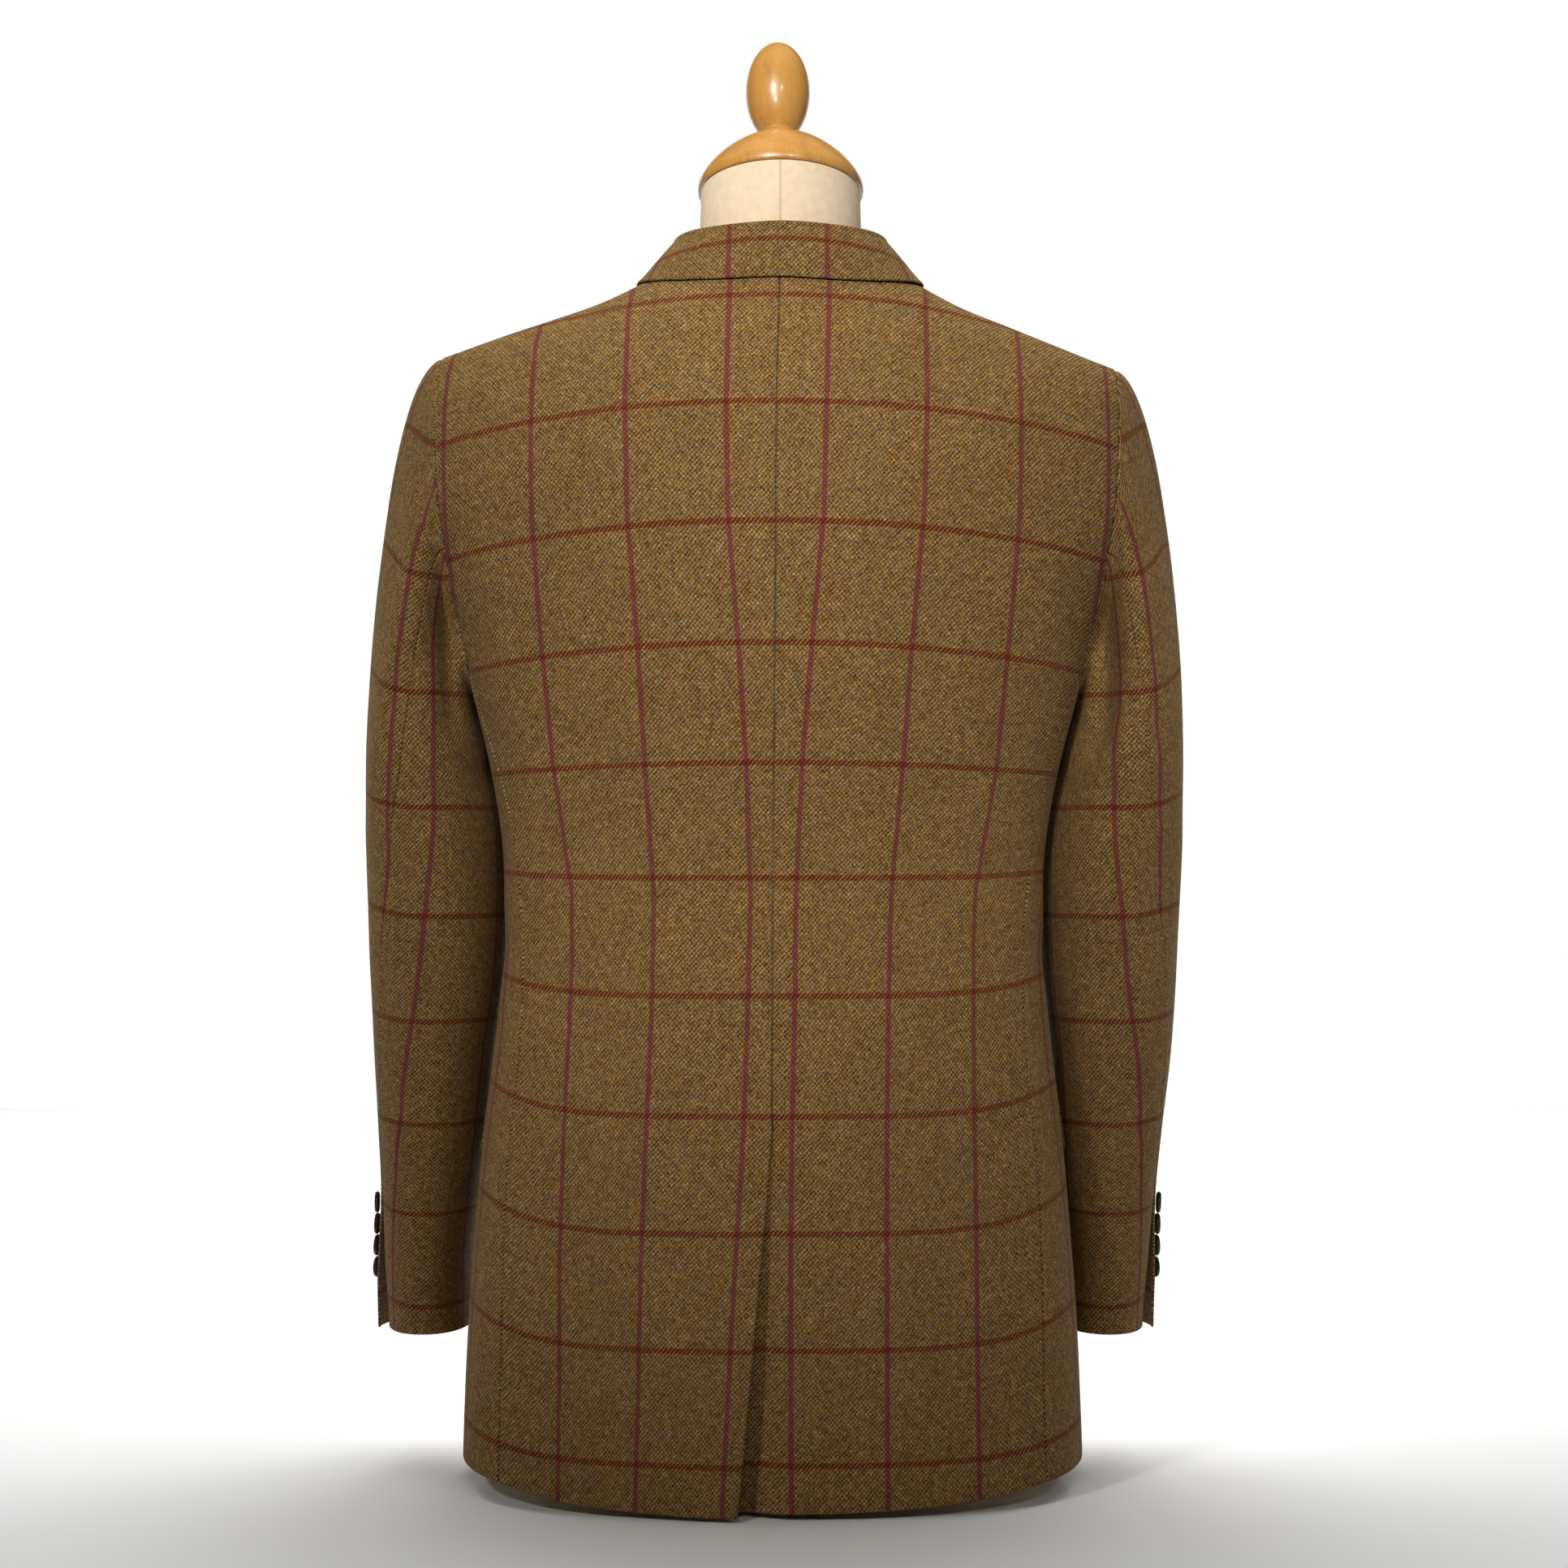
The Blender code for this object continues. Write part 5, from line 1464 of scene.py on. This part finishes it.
def linen_material():
    """Plain cream linen with slubs, and the seam down its centre back."""
    material, tree, shader = make_material("cream_linen_cover")
    place = object_place(tree)
    split = add_node(tree, "ShaderNodeSeparateXYZ", {0: place})
    threads = speckle(tree, object_place(tree, LINEN_THREAD_WAY), LINEN_THREAD_SCALE)
    slubs = speckle(tree, place, LINEN_SLUB_SCALE)
    even = maths(tree, "MULTIPLY", threads, 1.0 - LINEN_SLUB_SHARE)
    weave = maths(tree, "MULTIPLY_ADD", slubs, LINEN_SLUB_SHARE, even)
    from_seam = maths(tree, "ABSOLUTE", maths(tree, "ADD", split.outputs[0], LINEN_SEAM_PLACE))
    seam = spread(tree, from_seam, *LINEN_SEAM_DARKNESS)
    seam = maths(tree, "MULTIPLY", seam, maths(tree, "GREATER_THAN", split.outputs[1], 0.0))
    colour = blend(tree, "MIX", seam, ramp(tree, weave, LINENS), LINEN_SEAM)
    height = maths(tree, "SUBTRACT", threads, maths(tree, "MULTIPLY", seam, LINEN_SEAM_DEPTH))
    set_finish(tree, shader, colour, LINEN_FINISH, height, LINEN_RELIEF)
    return material


def wood_material():
    """Varnished beech: pale orange wood with short darker flecks, drawn out along its height."""
    material, tree, shader = make_material("varnished_beech")
    place = object_place(tree, BEECH_WAY)
    broad = maths(tree, "MULTIPLY", speckle(tree, place, BEECH_BROAD_SCALE, 3.0), 1.0 - BEECH_FINE_SHARE)
    flecks = maths(tree, "MULTIPLY_ADD", speckle(tree, place, BEECH_FINE_SCALE), BEECH_FINE_SHARE, broad)
    set_finish(tree, shader, ramp(tree, flecks, BEECHES), BEECH_FINISH)
    return material


def horn_material():
    """Dark brown horn with pale streaks."""
    material, tree, shader = make_material("streaked_dark_horn")
    streaks = speckle(tree, object_place(tree, HORN_WAY), HORN_SCALE, 4.0)
    set_finish(tree, shader, ramp(tree, streaks, HORNS), HORN_FINISH)
    return material


def floor_material():
    material, tree, shader = make_material("pale_floor")
    patches = speckle(tree, object_place(tree), FLOOR_SCALE)
    set_finish(tree, shader, ramp(tree, patches, FLOORS), FLOOR_FINISH)
    return material


wool = wool_material()
linen = linen_material()
varnished = wood_material()
horn = horn_material()
pale = floor_material()


# Cloth pieces

# Width and length that set how closely a piece is gridded, and the span of its unevenness
Cut = namedtuple("Cut", "width length uneven")
BACK_CUT = Cut(205.0, 790.0, 55.0)
SIDE_CUT = Cut(110.0, 510.0, 50.0)
FRONT_CUT = Cut(190.0, 800.0, 55.0)
LAPEL_CUT = Cut(75.0, 330.0, 45.0)
TOP_SLEEVE_CUT = Cut(175.0, 640.0, 50.0)
UNDER_SLEEVE_CUT = Cut(190.0, 640.0, 50.0)
FLAP_CUT = Cut(150.0, 55.0, 40.0)
COLLAR_WIDTH = 470.0
COLLAR_UNEVEN = 40.0
COLLAR_STEPS = {"stand": 8, "fold": 10, "fall": 16}
COLLAR_FOOT = (0.0, 0.0028, 0.0072)
COLLAR_FOOT_END = 0.012
COLLAR_LIP = (0.976, 0.987, 0.995, 1.0)
COLLAR_OUTWARD = 20.0
# Only the last of these parts of its profile, the fall, tells which side of the collar is outer
COLLAR_PARTS = 3
COLLAR_INNER = 2
BODY_OUTWARD = 40.0


def body_outward(points):
    return points * np.array([1.0, 1.0, 0.0]) + np.array([0.0, 0.0, BODY_OUTWARD])


def add_cloth(node, points, outward, relief, grain, rims):
    piece = cloth_sheet(f"cloth_{node}", points, outward, relief, grain, rims)
    hang(piece, node, points)


def add_body_panels(word, side):
    for panel, surface, cut, grain, rims in (
            ("back", back_surface, BACK_CUT, back_grain, (SEWN, SEWN, PRESSED, SEWN)),
            ("side", side_surface, SIDE_CUT, side_grain, (SEWN, SEWN, PRESSED, SEWN)),
            ("front", front_surface, FRONT_CUT, front_grain, (SEWN, PRESSED, PRESSED, SEWN))):
        node = f"{panel}_{word}"
        points = sample(surface(side), shares(cut.width), shares(cut.length))
        relief = crease_relief(node, points[..., [0, 2]]) + unevenness(points, cut.uneven)
        add_cloth(node, points, body_outward(points), relief, grain(side, points), rims)


def add_lapel(word, side):
    columns = shares(LAPEL_CUT.width)
    rows = shares(LAPEL_CUT.length)
    points = sample(lapel_surface(side), columns, rows)
    places = np.array([[lapel_place(side, column, row) for column in columns] for row in rows])
    add_cloth(f"lapel_{word}", points, body_outward(points), unevenness(points, LAPEL_CUT.uneven),
              lapel_grain(side, places), (PRESSED,) * 4)


def add_collar():
    """The profile is closely stepped at the foot and the lip, and evenly on the stand, fold and fall."""
    stand = np.linspace(0.0, STAND_SHARE, COLLAR_STEPS["stand"] + 1)[:-1]
    profile = list(COLLAR_FOOT) + [share for share in stand if share > COLLAR_FOOT_END]
    profile += list(np.linspace(STAND_SHARE, FOLD_SHARE, COLLAR_STEPS["fold"] + 1)[:-1])
    profile += list(np.linspace(FOLD_SHARE, 1.0, COLLAR_STEPS["fall"] + 1)[:-1])
    points = sample(collar_surface, shares(COLLAR_WIDTH), sorted(profile + list(COLLAR_LIP)))
    outward = points * np.array([1.0, 1.0, 0.0]) + np.array([0.0, COLLAR_OUTWARD, 0.0])
    outward[:len(points) * COLLAR_INNER // COLLAR_PARTS] = 0.0
    add_cloth("collar", points, outward, unevenness(points, COLLAR_UNEVEN), collar_grain(points),
              (PRESSED, PRESSED, SEWN, PRESSED))


def add_sleeve(word, side):
    for layer, surface, turn_at, cut, lines, way in (
            ("top", top_sleeve_surface(side), top_turn, TOP_SLEEVE_CUT, TOP_LINE, -1.0),
            ("under", under_sleeve_surface(side), under_turn, UNDER_SLEEVE_CUT, UNDER_LINE, 1.0)):
        columns = shares(cut.width)
        rows = shares(cut.length)
        travels = np.array([sleeve_travel(row) for row in rows])
        points = sample(surface, columns, rows)
        turns = np.array([[turn_at(column, travel) for column in columns] for travel in travels])
        radial = np.radians(turns)
        outward = np.stack([side * np.cos(radial), np.sin(radial), np.zeros(turns.shape)], axis=2)
        places = np.stack([turns * TURN_TO_MM, points[..., 2]], axis=2)
        settled = np.clip(travels * FOLD_HOLD, 0.0, 1.0)[:, None]
        relief = crease_relief(f"sleeve_{word}", places) * settled + unevenness(points, cut.uneven)
        grain = sleeve_grain(side, points, turns, travels, lines, way)
        add_cloth(f"sleeve_{word}_{layer}", points, outward, relief, grain,
                  (FLAT_SEAM, FLAT_SEAM, SEWN, PRESSED))


def add_flap(word, side):
    points = sample(flap_surface(side), shares(FLAP_CUT.width), shares(FLAP_CUT.length))
    add_cloth(f"pocket_flap_{word}", points, body_outward(points), unevenness(points, FLAP_CUT.uneven),
              flap_grain(side, points), (PRESSED, PRESSED, SEWN, PRESSED))


SIDES = (("left", LEFT), ("right", RIGHT))
for hand_word, hand in SIDES:
    add_body_panels(hand_word, hand)
    add_lapel(hand_word, hand)
    add_sleeve(hand_word, hand)
    add_flap(hand_word, hand)
add_collar()


# Turned and moulded pieces

def start_piece():
    bpy.ops.object.select_all(action="DESELECT")


def turned_piece(name, profile, sides):
    """A disc drawn up ring by ring along its axis."""
    start_piece()
    bpy.ops.mesh.primitive_circle_add(vertices=sides, radius=profile[0].radius * MM, fill_type="NGON")
    piece = bpy.context.object
    piece.name = name
    bpy.ops.object.mode_set(mode="EDIT")
    bpy.ops.mesh.select_all(action="SELECT")
    bpy.ops.transform.translate(value=(0.0, 0.0, profile[0].height * MM))
    for below, above in zip(profile, profile[1:]):
        rise = (above.height - below.height) * MM
        bpy.ops.mesh.extrude_region_move(TRANSFORM_OT_translate={"value": (0.0, 0.0, rise)})
        ratio = above.radius / below.radius
        bpy.ops.transform.resize(value=(ratio, ratio, 1.0))
    bpy.ops.mesh.select_all(action="SELECT")
    bpy.ops.mesh.normals_make_consistent(inside=False)
    bpy.ops.object.mode_set(mode="OBJECT")
    bpy.ops.object.shade_smooth_by_angle(angle=TURNED_SMOOTH)
    return piece


def place_piece(piece, node, matrix, material):
    piece.data.transform(matrix)
    piece.data.materials.clear()
    piece.data.materials.append(material)
    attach(piece, "root")
    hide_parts(node)


def form_rings():
    rings = [form_ring(level) for level in FORM_LEVELS]
    for level in NECK_LEVELS:
        widths = (curve(FORM_NECK, column, level) for column in ("half_width", "back", "front"))
        rings.append(neck_ring(Ring(level, *widths)))
    return [[settle(point) for point in ring] for ring in rings]


def inside_torso(out, away, height):
    """Whether a point is within the cloth's middle layer."""
    level = min(height, BLADES)
    half_width = torso_width(level)
    if abs(out) >= half_width:
        return False
    depth = ring_depth(out, half_width, torso_depth(away, level))
    if height <= BLADES:
        return abs(away) < depth
    rise = (height - BLADES) / (curve(SHOULDER, "height", abs(out)) - BLADES)
    return rise < 1.0 and abs(away) < depth * math.sqrt(1.0 - rise * rise)


def reach(way, height):
    """How far the torso reaches from the middle in a level direction."""
    near, far = 0.0, FORM_REACH
    for _ in range(FORM_REACH_STEPS):
        half = (near + far) / 2
        if inside_torso(way.x * half, way.y * half, height):
            near = half
        else:
            far = half
    return near


def form_ring(height):
    room = curve(FORM_ROOM, "room", height)
    limit = curve(FORM_ROOM, "arm_limit", height)
    ring = []
    for side in range(FORM_SIDES):
        angle = 2 * math.pi * side / FORM_SIDES
        way = unit(Vector((FORM_WIDE * math.sin(angle), FORM_DEEP * math.cos(angle), 0.0)))
        length = min(reach(way, height), reach(way, height + room)) - room
        if abs(way.x) > FORM_ARM_SIDE:
            length = min(length, limit / abs(way.x))
        ring.append(way * length + Vector((0, 0, height)))
    return ring


def neck_ring(row):
    ring = []
    for side in range(FORM_SIDES):
        angle = 2 * math.pi * side / FORM_SIDES
        away = (row.back if math.cos(angle) > 0 else row.front) * math.cos(angle)
        tilt = away * math.tan(NECK_TILT) * ease((row.height - FORM_NECK[0].height) / NECK_TILT_RISE)
        ring.append(Vector((row.half_width * math.sin(angle), away, row.height + tilt)))
    return ring


def add_form():
    """A cylinder cut into rings, each ring then drawn out to the form's outline."""
    rings = form_rings()
    start_piece()
    bpy.ops.mesh.primitive_cylinder_add(vertices=FORM_SIDES, radius=1.0, depth=1.0, end_fill_type="NGON")
    piece = bpy.context.object
    piece.name = "linen_form"
    mesh = piece.data
    bpy.ops.object.mode_set(mode="EDIT")
    bpy.ops.mesh.select_mode(type="EDGE")
    bpy.ops.mesh.select_all(action="DESELECT")
    bpy.ops.object.mode_set(mode="OBJECT")
    for edge in mesh.edges:
        first, second = (mesh.vertices[index].co.z for index in edge.vertices)
        edge.select = abs(first - second) > 0.5
    bpy.ops.object.mode_set(mode="EDIT")
    bpy.ops.mesh.subdivide(number_cuts=len(rings) - 2)
    bpy.ops.object.mode_set(mode="OBJECT")
    for vert in mesh.vertices:
        ring = round((vert.co.z + 0.5) * (len(rings) - 1))
        side = round(math.atan2(vert.co.x, vert.co.y) / (2 * math.pi) * FORM_SIDES) % FORM_SIDES
        vert.co = rings[ring][side] * MM
    bpy.ops.object.mode_set(mode="EDIT")
    bpy.ops.mesh.select_all(action="SELECT")
    bpy.ops.mesh.normals_make_consistent(inside=False)
    bpy.ops.object.mode_set(mode="OBJECT")
    bpy.ops.object.shade_smooth_by_angle(angle=FORM_SMOOTH)
    place_piece(piece, "form_body", Matrix.Identity(4), linen)


def cap_profile():
    """A thin rounded lip, the dome and a flat seat for the knob."""
    lip = [Turn(CAP_RADIUS - inset, height) for inset, height in CAP_ROUNDING]
    dome = [Turn(CAP_RADIUS, CAP_LIP)]
    for step in range(1, CAP_STEPS + 1):
        angle = step / CAP_STEPS * math.pi / 2
        radius = mix(CAP_FLAT, CAP_RADIUS, max(math.cos(angle), 0.0) ** (2 / CAP_FULLNESS))
        dome.append(Turn(radius, CAP_LIP + CAP_DOME * math.sin(angle) ** (2 / CAP_FULLNESS)))
    return lip + dome + [Turn(CAP_MIDDLE, CAP_LIP + CAP_DOME)]


def knob_profile():
    """An egg that narrows to a neck and flares again on the cap."""
    neck_radius = KNOB_RADIUS * math.cos(KNOB_FOOT)
    neck_height = KNOB_MIDDLE + KNOB_RISE * math.sin(KNOB_FOOT)
    outline = [Turn(STEM_RADIUS - STEM_ROUNDING, 0.0)]
    for step in range(KNOB_STEPS["neck"]):
        flare = 1.0 - step / KNOB_STEPS["neck"]
        radius = mix(neck_radius, STEM_RADIUS, flare * flare)
        outline.append(Turn(radius, mix(neck_height, STEM_FOOT, flare)))
    for step in range(KNOB_STEPS["egg"]):
        angle = mix(KNOB_FOOT, math.pi / 2, step / KNOB_STEPS["egg"])
        outline.append(Turn(KNOB_RADIUS * math.cos(angle), KNOB_MIDDLE + KNOB_RISE * math.sin(angle)))
    return outline + [Turn(KNOB_TIP, KNOB_MIDDLE + KNOB_RISE)]


def add_wood():
    foot = settle(Vector((0.0, NECK_MIDDLE, FORM_NECK[-1].height + SEAM_GAP / 2))) * MM
    stand = Matrix.Translation(foot) @ Matrix.Rotation(NECK_TILT, 4, "X")
    cap = turned_piece("wood_cap", cap_profile(), TURNED_SIDES)
    place_piece(cap, "neck_cap", stand, varnished)
    above = Matrix.Translation((KNOB_SHIFT * MM, 0.0, (CAP_LIP + CAP_DOME + SEAM_GAP) * MM))
    knob = turned_piece("wood_knob", knob_profile(), TURNED_SIDES)
    place_piece(knob, "finial", stand @ above, varnished)


def button_pattern(name, radius, height):
    """A dished button with four holes through it."""
    profile = [Turn(radius * row.radius, height * row.height) for row in BUTTON_SHAPE]
    piece = turned_piece(name, profile, BUTTON_SIDES)
    out = radius * BUTTON_HOLE_OUT * MM
    for turn in BUTTON_HOLE_ANGLES:
        angle = math.radians(turn)
        start_piece()
        bpy.ops.mesh.primitive_cylinder_add(
            vertices=BUTTON_HOLE_SIDES, radius=radius * BUTTON_HOLE * MM, depth=4 * height * MM,
            location=(out * math.cos(angle), out * math.sin(angle), 0.0))
        drill = bpy.context.object
        start_piece()
        piece.select_set(True)
        bpy.context.view_layer.objects.active = piece
        cutter = piece.modifiers.new("Hole", "BOOLEAN")
        cutter.operation = "DIFFERENCE"
        cutter.solver = "EXACT"
        cutter.object = drill
        bpy.ops.object.modifier_apply(modifier="Hole")
        bpy.data.objects.remove(drill, do_unlink=True)
    return piece


def copy_piece(pattern, name):
    piece = bpy.data.objects.new(name, pattern.data.copy())
    bpy.context.scene.collection.objects.link(piece)
    return piece


def button_matrix(place, normal):
    turned = normal.to_track_quat("Z", "Y").to_matrix().to_4x4()
    return Matrix.Translation((place + normal * (WALL / 2 + BUTTON_GAP)) * MM) @ turned


def surface_normal(surface, column, row):
    across = surface(column + BUTTON_NUDGE, row) - surface(column - BUTTON_NUDGE, row)
    up = surface(column, min(row + BUTTON_NUDGE, 1.0)) - surface(column, row - BUTTON_NUDGE)
    return unit(across.cross(up))


def add_buttons():
    small = button_pattern("small_button", CUFF_BUTTON_RADIUS, CUFF_BUTTON_HEIGHT)
    large = button_pattern("large_button", FRONT_BUTTON_RADIUS, FRONT_BUTTON_HEIGHT)
    for word, side in SIDES:
        face = top_sleeve_surface(side)
        for number, height in enumerate(CUFF_BUTTON_HEIGHTS, start=1):
            travel = 1.0 + (BICEPS - height) / (BICEPS - CUFF)
            row = HEAD_SHARE + (travel - 1.0) * (1.0 - HEAD_SHARE)
            column = CUFF_BUTTON_TURN / (hind_turn(travel) - FORE_TURN)
            normal = surface_normal(face, column, row)
            if normal.x * side < 0:
                normal = -normal
            node = f"cuff_button_{word}_{number}"
            piece = copy_piece(small, f"horn_{node}")
            place_piece(piece, node, button_matrix(face(column, row), normal), horn)
    for number, height in enumerate(FRONT_BUTTON_HEIGHTS, start=1):
        node = f"front_button_{number}"
        place = on_side(LEFT, front_point(LEFT, 0.0, height))
        piece = copy_piece(large, f"horn_{node}")
        place_piece(piece, node, button_matrix(place, torso_normal(0.0, height, FRONT)), horn)
    for pattern in (small, large):
        bpy.data.objects.remove(pattern, do_unlink=True)


add_form()
add_wood()
add_buttons()


# Stage, light and camera

WARM = (1.0, 0.97, 0.93)
WHITE = (1.0, 1.0, 1.0)
Lamp = namedtuple("Lamp", "name place aim size watts colour spread")
LAMPS = (
    Lamp("key_high", (0.6, 2.12, 1.9), (0.0, 0.0, 0.85), (0.3, 0.3), 0.60, WARM, 26.0),
    Lamp("key_back", (0.6, 2.12, 1.9), (0.0, 0.0, 0.70), (0.3, 0.3), 0.56, WARM, 22.0),
    Lamp("fill_back", (-0.6, 2.12, 1.9), (-0.1, 0.0, 0.66), (0.3, 0.3), 0.16, WARM, 20.0),
    Lamp("waist", (0.0, 2.2, 1.9), (0.0, 0.0, 0.50), (0.2, 0.3), 0.075, WARM, 7.0),
    Lamp("skirt", (0.0, 2.2, 1.7), (0.0, 0.0, 0.22), (0.3, 0.3), 0.09, WARM, 10.0),
    Lamp("hem_left", (1.3, 1.77, 1.7), (0.0, 0.0, 0.14), (0.3, 0.3), 0.20, WARM, 14.0),
    Lamp("hem_right", (-1.3, 1.77, 1.7), (-0.08, 0.0, 0.10), (0.3, 0.3), 0.06, WARM, 11.0),
    Lamp("elbow_left", (0.9, 2.0, 1.6), (0.25, 0.0, 0.48), (0.3, 0.3), 0.05, WARM, 8.0),
    Lamp("elbow_right", (-0.9, 2.0, 1.6), (-0.25, 0.0, 0.48), (0.3, 0.3), 0.09, WARM, 8.0),
    Lamp("neck", (0.3, 2.1, 1.3), (0.0, 0.0, 0.955), (0.4, 0.2), 0.065, WARM, 5.0),
    Lamp("backdrop", (0.0, -1.5, 2.4), (0.0, -1.5, 0.0), (4.0, 3.0), 80.0, WHITE, 110.0),
)
# Brightness of the room: full near eye level and ahead, low elsewhere
ROOM_LEVEL = (0.33, 0.5, 1.0, 0.06)
ROOM_AHEAD = (-0.88, -0.75, 1.0, 0.035)
FLOOR_MIDDLE = (0.0, 0.7, 0.0)
FLOOR_HALF = (4.0, 3.3, 1.0, 1.0)
CAMERA_PLACE = (-0.0074, 1.8, 0.412)
CAMERA_LENS = 62.7
CAMERA_SENSOR = 36.0
CAMERA_SHIFT = 84.0 / 1932


def add_lamp(row):
    lamp = bpy.data.lights.new(row.name, "AREA")
    lamp.shape = "RECTANGLE"
    lamp.size, lamp.size_y = row.size
    lamp.energy = row.watts
    lamp.color = row.colour
    lamp.spread = math.radians(row.spread)
    light = bpy.data.objects.new(row.name, lamp)
    light.location = row.place
    light.rotation_euler = (Vector(row.aim) - Vector(row.place)).to_track_quat("-Z", "Y").to_euler()
    light.visible_glossy = row.name != "backdrop"
    bpy.context.scene.collection.objects.link(light)


def add_world():
    """A white backdrop near eye level, dimmer overhead and behind the camera."""
    world = bpy.data.worlds.new("pale_room")
    world.use_nodes = True
    tree = world.node_tree
    way = add_node(tree, "ShaderNodeTexCoord").outputs["Generated"]
    split = add_node(tree, "ShaderNodeSeparateXYZ", {0: way})
    level = spread(tree, maths(tree, "ABSOLUTE", split.outputs[2]), *ROOM_LEVEL)
    ahead = spread(tree, split.outputs[1], *ROOM_AHEAD)
    background = tree.nodes["Background"]
    background.inputs["Color"].default_value = (*WHITE, 1.0)
    tree.links.new(maths(tree, "MULTIPLY", level, ahead), background.inputs["Strength"])
    bpy.context.scene.world = world


def add_floor():
    start_piece()
    bpy.ops.mesh.primitive_plane_add(size=2.0)
    floor = bpy.context.object
    floor.name = "floor"
    floor.data.transform(Matrix.Translation(FLOOR_MIDDLE) @ Matrix.Diagonal(FLOOR_HALF))
    floor.data.materials.append(pale)


def add_camera():
    """The camera stands behind the jacket, level, with its picture shifted up as in the photo."""
    lens = bpy.data.cameras.new("photo_view")
    lens.lens = CAMERA_LENS
    lens.sensor_width = CAMERA_SENSOR
    lens.shift_y = CAMERA_SHIFT
    camera = bpy.data.objects.new("photo_view", lens)
    camera.location = CAMERA_PLACE
    camera.rotation_euler = (math.pi / 2, 0.0, math.pi)
    bpy.context.scene.collection.objects.link(camera)
    bpy.context.scene.camera = camera
    bpy.context.scene.view_settings.view_transform = "Standard"


add_floor()
add_world()
for lamp_row in LAMPS:
    add_lamp(lamp_row)
add_camera()
